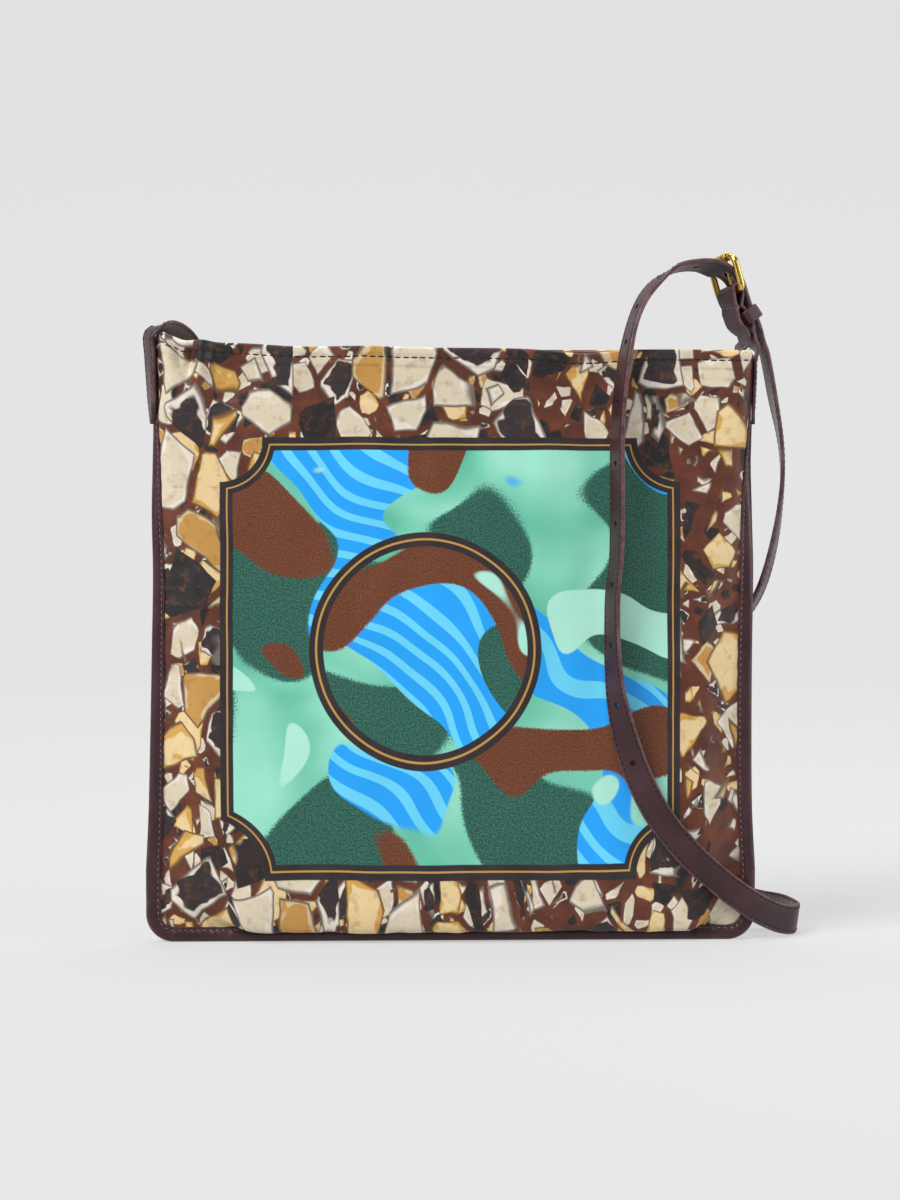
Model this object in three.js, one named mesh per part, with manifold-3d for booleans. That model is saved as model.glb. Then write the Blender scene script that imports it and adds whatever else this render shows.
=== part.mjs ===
// A flat shoulder bag. Two cloth panels lie back to back, held along both sides
// and the bottom in a folded leather binding and open along the top hem. One
// long leather strap is sewn to the upper left side and buckles to a short
// folded strip, the chape, at the upper right side.
//
// Millimetres, +Z up, +X to the viewer's right, -Y towards the viewer. The
// origin is on the floor, under the middle of the bag.
import * as THREE from 'three';
import { mergeVertices } from 'three/addons/utils/BufferGeometryUtils.js';
import Module from 'manifold-3d';

const wasm = await Module();
wasm.setup();

// ---------------------------------------------------------------- sizes

const GAP = 0.3;               // clearance between neighbouring pieces

const CLOTH_T = 1.6;           // cloth wall: printed face and backing
const HEM_T = 2.4;             // the same wall where the hem is turned
const HEM_DEPTH = 9.5;
const CLOTH_APART = 0.96;      // middle of each cloth wall from the seam plane
const CLOTH_IN = 2.2;          // cut edge of the cloth, from the bag's outer edge

const BIND_W = 8.4;            // binding, visible width of each leg
const BIND_T = 7.4;            // binding, over both legs
const BIND_LEATHER = 1.3;
const BIND_CHAMFER = 0.6;
const CORNER_R = 15.5;         // lower corners of the bag
const BIND_TOP_LEFT = 329.4;
const BIND_TOP_RIGHT = 326.4;

const STRAP_W = 15.5;
const STRAP_T = 2.4;
const TAB_REACH_LEFT = 4.4;    // middle of a sewn end, outwards from the seam
const TAB_REACH_RIGHT = 7.2;
const TAB_REACH_INNER = 11.2;  // the same for the chape's inner leg
const TAB_GAP = 0.55;          // between a sewn end and the binding
const TAB_TIP_LEFT = 288;      // heights of the sewn ends
const TAB_TOP_LEFT = 326;
const TAB_TIP_RIGHT = 287.5;
const TAB_TOP_RIGHT = 322;

const HOLE_D = 3.4;            // punched holes of the strap
const HOLE_PITCH = 33.3;
const HOLE_Z = 332.7;          // height of the hole at the top hem
const HOLES_BELOW = 7;         // further holes, down the front
const HOLES_ABOVE = 3;         // holes between the hem and the prong's hole
const PRONG_HOLE_D = 3.8;      // the prong's hole, worn long: across the strap
const PRONG_HOLE_L = 9.0;      // and along it

const CHAPE_T = 2.0;
const CHAPE_SHORT_END = 319;   // lower end of the chape's inner leg
const SLOT_W = 4.0;            // slot of the chape for the prong, in its outer leg

const WIRE_D = 3.7;            // buckle
const FRAME_W = 21.4;          // between the middles of the side wires
const FRAME_L = 19.2;          // between the middles of heel bar and end bar
const FRAME_R_HEEL = 2.6;
const FRAME_R_END = 5.0;
const ROLLER_D = 5.4;
const ROLLER_BORE = 4.4;
const ROLLER_W = 11.0;
const PRONG_D = 2.2;

const KEEPER_W = 7.6;
const KEEPER_T = 1.2;

// ---------------------------------------------------------------- tables

// Side seams, by height: where the cloth leaves the binding, and by how many
// degrees the binding is turned back there.
const SIDES = [
  { z: 40,  leftX: -160.8, leftY: 0.0, leftTurn: 0,  rightX: 162.0, rightY: 0.0,  rightTurn: 0 },
  { z: 75,  leftX: -159.0, leftY: 0.0, leftTurn: 8,  rightX: 160.1, rightY: 0.0,  rightTurn: 0 },
  { z: 120, leftX: -157.9, leftY: 0.0, leftTurn: 20, rightX: 159.5, rightY: 0.0,  rightTurn: 2 },
  { z: 165, leftX: -157.0, leftY: 0.0, leftTurn: 28, rightX: 159.5, rightY: 0.0,  rightTurn: 6 },
  { z: 205, leftX: -156.4, leftY: 0.3, leftTurn: 34, rightX: 159.9, rightY: -0.2, rightTurn: 16 },
  { z: 238, leftX: -157.4, leftY: 0.8, leftTurn: 44, rightX: 159.8, rightY: -0.5, rightTurn: 38 },
  { z: 265, leftX: -157.8, leftY: 1.6, leftTurn: 58, rightX: 160.9, rightY: -1.0, rightTurn: 64 },
  { z: 290, leftX: -158.9, leftY: 3.0, leftTurn: 76, rightX: 163.1, rightY: -1.5, rightTurn: 82 },
  { z: 315, leftX: -159.5, leftY: 4.6, leftTurn: 72, rightX: 164.3, rightY: -1.5, rightTurn: 88 },
  { z: 340, leftX: -160.3, leftY: 6.0, leftTurn: 66, rightX: 164.7, rightY: -1.5, rightTurn: 88 },
];

// Rows of a cloth panel, from its lower cut edge to its top. run is the height
// of the row near the corners; in the middle the cloth sags over the binding
// and lies at height mid. outMid and outEnd are the bulge there and near the
// corners, from the seam plane to the middle of the wall.
const ROWS = [
  { run: 2.2,   mid: 2.2,   outMid: 1.0,  outEnd: 1.0 },
  { run: 9.0,   mid: 9.0,   outMid: 1.0,  outEnd: 1.0 },
  { run: 11.0,  mid: 10.2,  outMid: 2.6,  outEnd: 1.3 },
  { run: 13.5,  mid: 10.3,  outMid: 5.3,  outEnd: 1.9 },
  { run: 16.5,  mid: 8.3,   outMid: 8.2,  outEnd: 2.8 },
  { run: 20.0,  mid: 7.0,   outMid: 10.2, outEnd: 3.9 },
  { run: 25.0,  mid: 9.6,   outMid: 11.9, outEnd: 5.4 },
  { run: 33.0,  mid: 17.5,  outMid: 12.7, outEnd: 7.4 },
  { run: 46.0,  mid: 32.0,  outMid: 12.9, outEnd: 9.6 },
  { run: 64.0,  mid: 54.0,  outMid: 12.9, outEnd: 11.2 },
  { run: 88.0,  mid: 82.0,  outMid: 12.8, outEnd: 12.2 },
  { run: 115.0, mid: 112.5, outMid: 12.6, outEnd: 12.5 },
  { run: 143.0, mid: 142.0, outMid: 12.4, outEnd: 12.4 },
  { run: 171.0, mid: 171.0, outMid: 12.0, outEnd: 12.0 },
  { run: 199.0, mid: 199.0, outMid: 11.4, outEnd: 11.4 },
  { run: 219.0, mid: 219.0, outMid: 10.8, outEnd: 10.8 },
  { run: 236.0, mid: 236.0, outMid: 10.2, outEnd: 10.2 },
  { run: 252.0, mid: 252.0, outMid: 9.5,  outEnd: 9.5 },
  { run: 267.0, mid: 267.0, outMid: 8.7,  outEnd: 8.7 },
  { run: 283.0, mid: 283.0, outMid: 7.7,  outEnd: 7.7 },
  { run: 298.0, mid: 298.0, outMid: 6.8,  outEnd: 6.8 },
  { run: 310.0, mid: 310.0, outMid: 6.1,  outEnd: 6.1 },
  { run: 319.5, mid: 319.5, outMid: 5.7,  outEnd: 5.7 },
  { run: 329.0, mid: 329.0, outMid: 5.4,  outEnd: 5.4 },
];
const TOP = 329;               // height of the last row, before the edge's waves
const WAVE_FROM = 262;         // the top edge's waves fade out down to here
const BACK_SHARE = 1.0;        // bulge of the back panel, as a share of the front's

// Top edge of each panel, left to right.
const TOP_FRONT = [
  { x: -162, z: 334.4 },
  { x: -158.6, z: 338.0 },
  { x: -154, z: 336.0 },
  { x: -146, z: 333.0 },
  { x: -136, z: 333.5 },
  { x: -128, z: 332.0 },
  { x: -110, z: 331.3 },
  { x: -82, z: 329.7 },
  { x: -46, z: 330.1 },
  { x: -20, z: 329.2 },
  { x: 40, z: 328.4 },
  { x: 70, z: 326.0 },
  { x: 86, z: 326.6 },
  { x: 102, z: 327.9 },
  { x: 165, z: 327.6 },
];
const TOP_BACK = [
  { x: -162, z: 333.0 },
  { x: -140, z: 331.0 },
  { x: -90,  z: 329.0 },
  { x: 60,   z: 327.5 },
  { x: 165,  z: 327.4 },
];

// Folds and dents of the front panel: middle, half length along the fold, half
// width across it, lean of the fold from upright, and depth inwards.
const FOLDS_FRONT = [
  { x: -147, z: 324, along: 8,  across: 6,  lean: 0,   depth: 2.6 },   // pinch below the hem
  { x: -136, z: 322, along: 16, across: 5,  lean: 2,   depth: -1.8 },  // ridge where the corner turns
  { x: -120, z: 306, along: 26, across: 12, lean: 38,  depth: 1.8 },   // drag from the corner
  { x: -140, z: 268, along: 40, across: 10, lean: 8,   depth: 1.6 },   // hollow beside the left binding
  { x: -142, z: 170, along: 45, across: 11, lean: -4,  depth: 1.3 },
  { x: 70,   z: 318, along: 18, across: 14, lean: -6,  depth: 1.6 },   // dip of the hem
  { x: 20,   z: 285, along: 45, across: 26, lean: -14, depth: 1.4 },
  { x: 146,  z: 250, along: 34, across: 10, lean: 6,   depth: 1.8 },   // hollow beside the right binding
  { x: -60,  z: 40,  along: 16, across: 24, lean: 20,  depth: 1.4 },   // slack above the lower edge
  { x: 40,   z: 36,  along: 15, across: 22, lean: -16, depth: 1.5 },
  { x: 112,  z: 44,  along: 20, across: 16, lean: -30, depth: 1.6 },
];
const FOLDS_BACK = [
  { x: -120, z: 300, along: 34, across: 14, lean: 34,  depth: 2.0 },
  { x: 118,  z: 292, along: 34, across: 14, lean: -30, depth: 2.0 },
  { x: 0,    z: 60,  along: 24, across: 40, lean: 0,   depth: 1.6 },
];

// Strap after its sewn left end: middle of the strap, direction of its outer
// face (azimuth from +X, elevation) and width.
const STRAP = [
  { x: -166.0, y: 7.6, z: 336.0, azimuth: 202, elevation: 25, width: 15.5 },   // small arch
  { x: -164.2, y: 8.1, z: 339.2, azimuth: 205, elevation: 43, width: 15.5 },
  { x: -161.2, y: 9.0, z: 340.9, azimuth: 200, elevation: 63, width: 15.5 },
  { x: -158.2, y: 10.4, z: 341.2, azimuth: 135, elevation: 66, width: 15.5 },
  { x: -155.2, y: 12.3, z: 339.6, azimuth: 112, elevation: 49, width: 15.5 },
  { x: -151.6, y: 14.9, z: 337.7, azimuth: 103, elevation: 41, width: 15.5 },
  { x: -147.8, y: 18.2, z: 334.3, azimuth: 98, elevation: 35, width: 15.5 },
  { x: -144.2, y: 22.0, z: 328.8, azimuth: 88, elevation: 30, width: 15.5 },
  { x: -138.6, y: 25.4, z: 317.0, azimuth: 78, elevation: 14, width: 15.5 },   // behind the bag
  { x: -120.0, y: 24.0, z: 288.0, azimuth: 264, elevation: 180, width: 15.5 },
  { x: -84.0, y: 20.0, z: 248.0, azimuth: 270, elevation: 180, width: 15.5 },
  { x: -30.0, y: 17.6, z: 192.0, azimuth: 270, elevation: 180, width: 15.5 },
  { x: 30.0, y: 17.2, z: 132.0, azimuth: 270, elevation: 180, width: 15.5 },
  { x: 84.0, y: 18.4, z: 78.0, azimuth: 270, elevation: 180, width: 15.5 },
  { x: 128.0, y: 21.6, z: 39.0, azimuth: 268, elevation: 180, width: 15.5 },
  { x: 154.0, y: 26.0, z: 21.5, azimuth: 262, elevation: 180, width: 15.8 },
  { x: 176.0, y: 30.6, z: 14.4, azimuth: 258, elevation: 180, width: 16.2 },   // loop on the floor
  { x: 189.5, y: 28.6, z: 12.2, azimuth: 220, elevation: 176, width: 16.4 },
  { x: 196.1, y: 20.5, z: 9.4, azimuth: 184, elevation: 187, width: 16.4 },
  { x: 193.2, y: 11.0, z: 8.6, azimuth: 142, elevation: 184, width: 16.4 },
  { x: 184.0, y: 3.0, z: 11.3, azimuth: 118, elevation: 180, width: 16.4 },
  { x: 169.0, y: -7.2, z: 19.9, azimuth: 106, elevation: 180, width: 16.0 },   // up the front
  { x: 149.0, y: -12.0, z: 35.0, azimuth: 98, elevation: 180, width: 15.5 },
  { x: 130.0, y: -15.6, z: 53.0, azimuth: 92, elevation: 180, width: 15.5 },
  { x: 113.5, y: -17.4, z: 74.6, azimuth: 86, elevation: 180, width: 15.5 },
  { x: 103.0, y: -18.8, z: 96.0, azimuth: 76, elevation: 180, width: 15.5 },
  { x: 95.5, y: -20.0, z: 119.0, azimuth: 58, elevation: 180, width: 15.5 },
  { x: 90.0, y: -21.0, z: 147.0, azimuth: 34, elevation: 180, width: 15.5 },
  { x: 88.6, y: -21.4, z: 190.0, azimuth: 23, elevation: 180, width: 15.5 },
  { x: 91.0, y: -20.8, z: 220.0, azimuth: 22, elevation: 180, width: 15.5 },
  { x: 91.6, y: -18.4, z: 290.0, azimuth: 21, elevation: 180, width: 15.5 },
  { x: 96.1, y: -15.2, z: 328.4, azimuth: 18, elevation: 172, width: 15.5 },   // large arch
  { x: 102.4, y: -7.0, z: 349.9, azimuth: 14, elevation: 156, width: 15.5 },
  { x: 111.4, y: -0.6, z: 363.8, azimuth: 15, elevation: 134, width: 15.5 },
  { x: 124.2, y: 2.6, z: 373.2, azimuth: 60, elevation: 76, width: 15.5 },
  { x: 136.2, y: 3.6, z: 375.3, azimuth: 68, elevation: 66, width: 15.5 },
  { x: 146.4, y: 5.0, z: 373.5, azimuth: 68, elevation: 46, width: 15.5 },
  { x: 152.6, y: 8.0, z: 371.5, azimuth: 46, elevation: 38, width: 15.5 },   // through the buckle
  { x: 158.0, y: 9.8, z: 366.1, azimuth: 36, elevation: 26, width: 15.5 },
  { x: 161.4, y: 9.6, z: 356.6, azimuth: 33, elevation: 22, width: 15.5 },
  { x: 164.0, y: 9.5, z: 349.7, azimuth: 31, elevation: 25, width: 15.5 },
  { x: 167.2, y: 9.2, z: 344.2, azimuth: 27, elevation: 22, width: 15.5 },   // in the keeper
  { x: 169.0, y: 9.6, z: 340.6, azimuth: 23, elevation: 22, width: 15.5 },   // tail
  { x: 172.1, y: 10.2, z: 333.2, azimuth: 13, elevation: 17, width: 15.5 },
  { x: 174.8, y: 10.6, z: 326.8, azimuth: 10, elevation: 13, width: 15.5 },
  { x: 179.9, y: 11.4, z: 301.0, azimuth: 8, elevation: 9, width: 15.5 },
  { x: 184.2, y: 11.9, z: 278.5, azimuth: 0, elevation: 5, width: 15.5 },
  { x: 185.6, y: 12.4, z: 260.0, azimuth: -6, elevation: 0, width: 15.5 },
  { x: 184.4, y: 13.6, z: 241.0, azimuth: -11, elevation: -6, width: 15.5 },
  { x: 181.2, y: 15.6, z: 219.5, azimuth: -17, elevation: -13, width: 15.5 },
  { x: 176.2, y: 19.2, z: 199.0, azimuth: -22, elevation: -18, width: 15.5 },
  { x: 170.0, y: 22.8, z: 184.5, azimuth: -22, elevation: -22, width: 15.5 },
  { x: 160.5, y: 25.6, z: 170.0, azimuth: -10, elevation: -18, width: 15.5 },
  { x: 151.0, y: 26.4, z: 157.5, azimuth: 10, elevation: -10, width: 15.2 },
  { x: 147.0, y: 26.2, z: 151.5, azimuth: 18, elevation: -8, width: 12.0 },
  { x: 144.2, y: 26.0, z: 147.6, azimuth: 20, elevation: -8, width: 5.0 },
];

// Buckle: middle of the heel bar, direction of the bar towards the viewer, how
// far it rises that way, and lean of the frame.
const HEEL = { x: 155.4, y: 6.0, z: 360.0 };
const BAR_AZIMUTH = -57.3;
const BAR_RISE = 17;
const FRAME_LEAN = 6.2;

// Chape between the heel bar and the bag: middle between its two legs, the way
// its outer face looks, the distance between the middles of the legs, and how
// far the inner leg swells beyond that.
const CHAPE = [
  { x: 156.1, y: 6.5, z: 351.7, azimuth: 32.6, elevation: 8, apart: 3.5, swell: 0.1, width: 15 },
  { x: 159.7, y: 6.9, z: 347, azimuth: 31, elevation: 25, apart: 4.4, swell: 1.8, width: 15.3 },
  { x: 162.7, y: 6.8, z: 342, azimuth: 27, elevation: 22, apart: 4.4, swell: 1.8, width: 15.5 },
  { x: 164.7, y: 6.5, z: 337.2, azimuth: 18, elevation: 11, apart: 3.2, swell: 0, width: 15.5 },
  { x: 165.1, y: 6.3, z: 332.8, azimuth: 11, elevation: 5, apart: 6, swell: 0, width: 15.5 },
  { x: 164.85, y: 6.2, z: 328.2, azimuth: -1, elevation: 1, apart: 11.04, swell: 0, width: 15.5 },
];
const KEEPER_ROW = 1;          // row of the chape above the keeper's middle
const KEEPER_SHARE = 0.46;     // share of the way to the next row

// ---------------------------------------------------------------- helpers

const V = (x, y, z) => new THREE.Vector3(x, y, z);
const at = (row) => V(row.x, row.y, row.z);
const rad = THREE.MathUtils.degToRad;
const mix = THREE.MathUtils.lerp;
const step = (x, lo, hi) => THREE.MathUtils.smoothstep(x, lo, hi);

function hermite(p0, m0, p1, m1, t) {
  const t2 = t * t, t3 = t2 * t;
  return (2 * t3 - 3 * t2 + 1) * p0 + (t3 - 2 * t2 + t) * m0
    + (3 * t2 - 2 * t3) * p1 + (t3 - t2) * m1;
}

// Smooth value of a table column, flat beyond the table's ends.
function column(rows, key, name, where) {
  const last = rows.length - 1;
  if (where <= rows[0][key]) return rows[0][name];
  if (where >= rows[last][key]) return rows[last][name];
  let i = 0;
  while (where > rows[i + 1][key]) i++;
  const slope = (k) => {
    const a = rows[Math.max(k - 1, 0)], b = rows[Math.min(k + 1, last)];
    return (b[name] - a[name]) / (b[key] - a[key]);
  };
  const span = rows[i + 1][key] - rows[i][key];
  return hermite(rows[i][name], slope(i) * span, rows[i + 1][name], slope(i + 1) * span,
    (where - rows[i][key]) / span);
}

function direction(azimuth, elevation) {
  const a = rad(azimuth), e = rad(elevation);
  return V(Math.cos(a) * Math.cos(e), Math.sin(a) * Math.cos(e), Math.sin(e));
}

// Closed mesh from rings of equal length. The first and last ring are capped
// with the triangles of cap, or joined to each other where cap is null.
function loft(rings, cap) {
  const n = rings[0].length, points = [], index = [];
  for (const ring of rings) for (const p of ring) points.push(p.x, p.y, p.z);
  const spans = cap ? rings.length - 1 : rings.length;
  for (let r = 0; r < spans; r++) {
    const a = r * n, b = ((r + 1) % rings.length) * n;
    for (let k = 0; k < n; k++) {
      const l = (k + 1) % n;
      index.push(a + k, a + l, b + l, a + k, b + l, b + k);
    }
  }
  if (cap) {
    const end = (rings.length - 1) * n;
    for (const [i, j, k] of cap) index.push(k, j, i, end + i, end + j, end + k);
  }
  return facing(points, index);
}

// Geometry with its faces pointing outwards.
function facing(points, index) {
  let volume = 0;
  const a = V(), b = V(), c = V();
  for (let i = 0; i < index.length; i += 3) {
    a.fromArray(points, 3 * index[i]);
    b.fromArray(points, 3 * index[i + 1]);
    c.fromArray(points, 3 * index[i + 2]);
    volume += a.dot(b.cross(c));
  }
  if (volume < 0) {
    for (let i = 0; i < index.length; i += 3) {
      [index[i + 1], index[i + 2]] = [index[i + 2], index[i + 1]];
    }
  }
  const geometry = new THREE.BufferGeometry();
  geometry.setAttribute('position', new THREE.Float32BufferAttribute(points, 3));
  geometry.setIndex(index);
  return geometry;
}

function solid(geometry) {
  const bare = geometry.clone();
  bare.deleteAttribute('normal');
  bare.deleteAttribute('uv');
  const merged = mergeVertices(bare, 1e-4);
  return new wasm.Manifold(new wasm.Mesh({
    numProp: 3,
    vertProperties: Float32Array.from(merged.attributes.position.array),
    triVerts: Uint32Array.from(merged.index.array),
  }));
}

function surface(manifold) {
  const mesh = manifold.getMesh();
  const points = [];
  for (let i = 0; i < mesh.numVert; i++) {
    for (let k = 0; k < 3; k++) points.push(mesh.vertProperties[i * mesh.numProp + k]);
  }
  const geometry = new THREE.BufferGeometry();
  geometry.setAttribute('position', new THREE.Float32BufferAttribute(points, 3));
  geometry.setIndex(Array.from(mesh.triVerts));
  return geometry;
}

const bag = new THREE.Group();
function add(name, geometry, colour, roughness, metalness) {
  geometry.computeVertexNormals();
  const mesh = new THREE.Mesh(geometry,
    new THREE.MeshStandardMaterial({ color: colour, roughness, metalness }));
  mesh.name = name;
  bag.add(mesh);
  return mesh;
}

// ---------------------------------------------------------------- side seams

// Seam point, outward direction of the binding and its front normal.
function sideFrame(side, z) {
  const name = side < 0 ? 'left' : 'right';
  const turn = rad(column(SIDES, 'z', name + 'Turn', z));
  return {
    seam: V(column(SIDES, 'z', name + 'X', z), column(SIDES, 'z', name + 'Y', z), z),
    out: V(side * Math.cos(turn), Math.sin(turn), 0),
    front: V(side * Math.sin(turn), -Math.cos(turn), 0),
  };
}

const sidePoint = (f, outwards, forwards) => f.seam.clone()
  .addScaledVector(f.out, outwards).addScaledVector(f.front, forwards);

// ---------------------------------------------------------------- cloth panels

const TURN_RUN = 34;           // cloth distance over which a side turns to the front
const TURN_X = 23.5;           // the same, as seen from the front
const SIDE_RUNS = [CLOTH_IN, 5.6, BIND_W + 0.6, 11.5, 15, 20, 26, TURN_RUN];

// Share of the full bulge across the panel.
const crown = (x) => 1 - 0.2 * Math.pow(Math.min(Math.abs(x) / 137, 1), 2.6);

// A square corner drawn round: rings of the square become arcs.
function roundCorner(a, b) {
  const da = CORNER_R - a, db = CORNER_R - b;
  if (da <= 0 || db <= 0) return [a, b];
  const m = Math.max(da, db);
  const turn = da >= db ? (db / da) * Math.PI / 4 : Math.PI / 2 - (da / db) * Math.PI / 4;
  return [CORNER_R - m * Math.cos(turn), CORNER_R - m * Math.sin(turn)];
}

// Middle of the cloth wall. face is 1 for the front panel, -1 for the back.
function clothPoint(face, row, top, col) {
  const share = face > 0 ? 1 : BACK_SHARE;
  const seamed = row.run <= BIND_W + 0.6;
  const flatZ = Math.max(row.run, CORNER_R);
  const left = sideFrame(-1, flatZ), right = sideFrame(1, flatZ);
  const xLeft = left.seam.x + TURN_X, xRight = right.seam.x - TURN_X;

  const nearX = col.side < 0 ? xLeft : col.side > 0 ? xRight : mix(xLeft, xRight, col.across);
  const sag = step(nearX, -146, -104) * (1 - step(nearX, 132, 154));
  const lift = (x) => (column(top, 'x', 'z', x) - TOP) * step(row.run, WAVE_FROM, TOP);
  const bulge = (x) => seamed ? CLOTH_APART
    : CLOTH_APART + (mix(row.outEnd, row.outMid, sag) - CLOTH_APART) * crown(x) * share;

  if (col.side === 0) {
    return V(nearX, -face * bulge(nearX), mix(row.run, row.mid, sag) + lift(nearX));
  }

  // Lower corners are flat in the seam plane; above them the cloth leaves the
  // binding along its own direction and turns to the front or the back.
  const [a, b] = roundCorner(col.run, row.run);
  const seamX = (col.side < 0 ? left : right).seam.x;
  const f = sideFrame(col.side, Math.max(b, CORNER_R) + lift(seamX));
  if (col.run <= BIND_W + 0.6) {
    const p = sidePoint(f, BIND_W - a, face * CLOTH_APART);
    p.z = b + lift(seamX) * mix(0.45, 1, col.run / (BIND_W + 0.6));
    return p;
  }
  const start = sidePoint(f, -0.6, face * CLOTH_APART);
  const end = V(nearX, -face * bulge(nearX), 0);
  const t = (col.run - BIND_W - 0.6) / (TURN_RUN - BIND_W - 0.6);
  const pull = mix(26, face > 0 ? 30 : 15, f.out.y);
  const p = V(
    hermite(start.x, -f.out.x * pull, end.x, -col.side * 0.9 * TURN_X, t),
    hermite(start.y, -f.out.y * pull, end.y, 0, t), 0);
  p.x -= col.side * (a - col.run);
  p.z = b + mix(lift(seamX), lift(p.x), step(t, 0, 0.3)) + (mix(row.run, row.mid, sag) - row.run) * t * t;
  return p;
}

function foldDepth(folds, x, z) {
  let depth = 0;
  for (const f of folds) {
    const c = Math.cos(rad(f.lean)), s = Math.sin(rad(f.lean));
    const dx = x - f.x, dz = z - f.z;
    const along = (dz * c + dx * s) / f.along, across = (dx * c - dz * s) / f.across;
    depth += f.depth * Math.exp(-along * along - across * across);
  }
  return depth;
}

function panel(face, folds, top, middles) {
  const columns = [];
  for (const run of SIDE_RUNS) columns.push({ side: -1, run });
  for (let i = 1; i < middles; i++) columns.push({ side: 0, across: i / middles });
  for (const run of [...SIDE_RUNS].reverse()) columns.push({ side: 1, run });
  const nc = columns.length, nr = ROWS.length;

  const grid = ROWS.map((row) => columns.map((col) => clothPoint(face, row, top, col)));
  const normalAt = (r, c) => {
    const du = grid[r][Math.min(c + 1, nc - 1)].clone().sub(grid[r][Math.max(c - 1, 0)]);
    const dv = grid[Math.min(r + 1, nr - 1)][c].clone().sub(grid[Math.max(r - 1, 0)][c]);
    return du.cross(dv).normalize().multiplyScalar(face);
  };
  const normals = grid.map((line, r) => line.map((p, c) => normalAt(r, c)));

  // Folds move the cloth inwards, but not where the binding holds it.
  const outer = [], inner = [];
  for (let r = 0; r < nr; r++) {
    for (let c = 0; c < nc; c++) {
      const p = grid[r][c], col = columns[c];
      const free = step(ROWS[r].run, BIND_W + 1, 26)
        * (col.side === 0 ? 1 : step(col.run, BIND_W + 1, 20));
      const centre = p.clone().addScaledVector(normals[r][c], -free * foldDepth(folds, p.x, p.z));
      const wall = ROWS[r].run > TOP - HEM_DEPTH - 0.1 && col.side === 0 ? HEM_T : CLOTH_T;
      outer.push(centre.clone().addScaledVector(normals[r][c], wall / 2));
      inner.push(centre.clone().addScaledVector(normals[r][c], -wall / 2));
    }
  }
  const points = [], index = [];
  for (const p of [...outer, ...inner]) points.push(p.x, p.y, p.z);
  const under = nr * nc;
  for (let r = 0; r + 1 < nr; r++) {
    for (let c = 0; c + 1 < nc; c++) {
      const a = r * nc + c, b = a + 1, d = a + nc, e = d + 1;
      index.push(a, b, e, a, e, d);
      index.push(under + a, under + e, under + b, under + a, under + d, under + e);
    }
  }
  const edge = [];
  for (let c = 0; c + 1 < nc; c++) edge.push(c);
  for (let r = 0; r + 1 < nr; r++) edge.push(r * nc + nc - 1);
  for (let c = nc - 1; c > 0; c--) edge.push((nr - 1) * nc + c);
  for (let r = nr - 1; r > 0; r--) edge.push(r * nc);
  edge.forEach((a, k) => {
    const b = edge[(k + 1) % edge.length];
    index.push(a, under + b, b, a, under + a, under + b);
  });
  return facing(points, index);
}

add('front_panel', panel(1, FOLDS_FRONT, TOP_FRONT, 16), 0x8a6a48, 0.55, 0);
add('back_panel', panel(-1, FOLDS_BACK, TOP_BACK, 12), 0x7a4a30, 0.55, 0);

// ---------------------------------------------------------------- edge binding

// U section: distance from the outer edge inwards, and forwards.
const half = BIND_T / 2, c = BIND_CHAMFER, bottom = BIND_LEATHER;
const U = [
  [BIND_W, -half], [c, -half], [0, -half + c], [0, half - c], [c, half], [BIND_W, half],
  [BIND_W, half - bottom], [bottom, half - bottom], [bottom, -half + bottom],
  [BIND_W, -half + bottom],
];

function bindingRings() {
  const rings = [];
  const ring = (edge, out, front) => rings.push(U.map(([inwards, forwards]) =>
    edge.clone().addScaledVector(out, -inwards).addScaledVector(front, forwards)));
  const SIDE_STEP = 12, CORNER_STEPS = 6, BOTTOM_STEPS = 4;

  const side = (sign, z) => {
    const f = sideFrame(sign, z);
    ring(sidePoint(f, BIND_W, 0), f.out, f.front);
  };
  const corner = (sign, turn) => {
    const f = sideFrame(sign, CORNER_R);
    const centre = sidePoint(f, BIND_W - CORNER_R, 0);
    const out = V(sign * Math.cos(turn), 0, -Math.sin(turn));
    ring(centre.addScaledVector(out, CORNER_R), out, V(0, -1, 0));
  };
  const steps = (topZ) => Math.ceil((topZ - CORNER_R) / SIDE_STEP);

  for (let n = steps(BIND_TOP_LEFT), i = n; i > 0; i--) side(-1, mix(CORNER_R, BIND_TOP_LEFT, i / n));
  for (let i = 0; i < CORNER_STEPS; i++) corner(-1, i / CORNER_STEPS * Math.PI / 2);
  const xl = sidePoint(sideFrame(-1, CORNER_R), BIND_W - CORNER_R, 0).x;
  const xr = sidePoint(sideFrame(1, CORNER_R), BIND_W - CORNER_R, 0).x;
  for (let i = 0; i <= BOTTOM_STEPS; i++) {
    ring(V(mix(xl, xr, i / BOTTOM_STEPS), 0, 0), V(0, 0, -1), V(0, -1, 0));
  }
  for (let i = CORNER_STEPS - 1; i >= 0; i--) corner(1, i / CORNER_STEPS * Math.PI / 2);
  for (let n = steps(BIND_TOP_RIGHT), i = 1; i <= n; i++) side(1, mix(CORNER_R, BIND_TOP_RIGHT, i / n));
  return rings;
}
const uOutline = U.map(([x, y]) => new THREE.Vector2(x, y));
const uCap = THREE.ShapeUtils.triangulateShape(uOutline, []).map((face) => {
  const same = THREE.ShapeUtils.isClockWise(face.map((i) => uOutline[i]))
    === THREE.ShapeUtils.isClockWise(uOutline);
  return same ? face : [...face].reverse();
});
add('edge_binding', loft(bindingRings(), uCap), 0x4b3438, 0.42, 0);

// ---------------------------------------------------------------- straps

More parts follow.
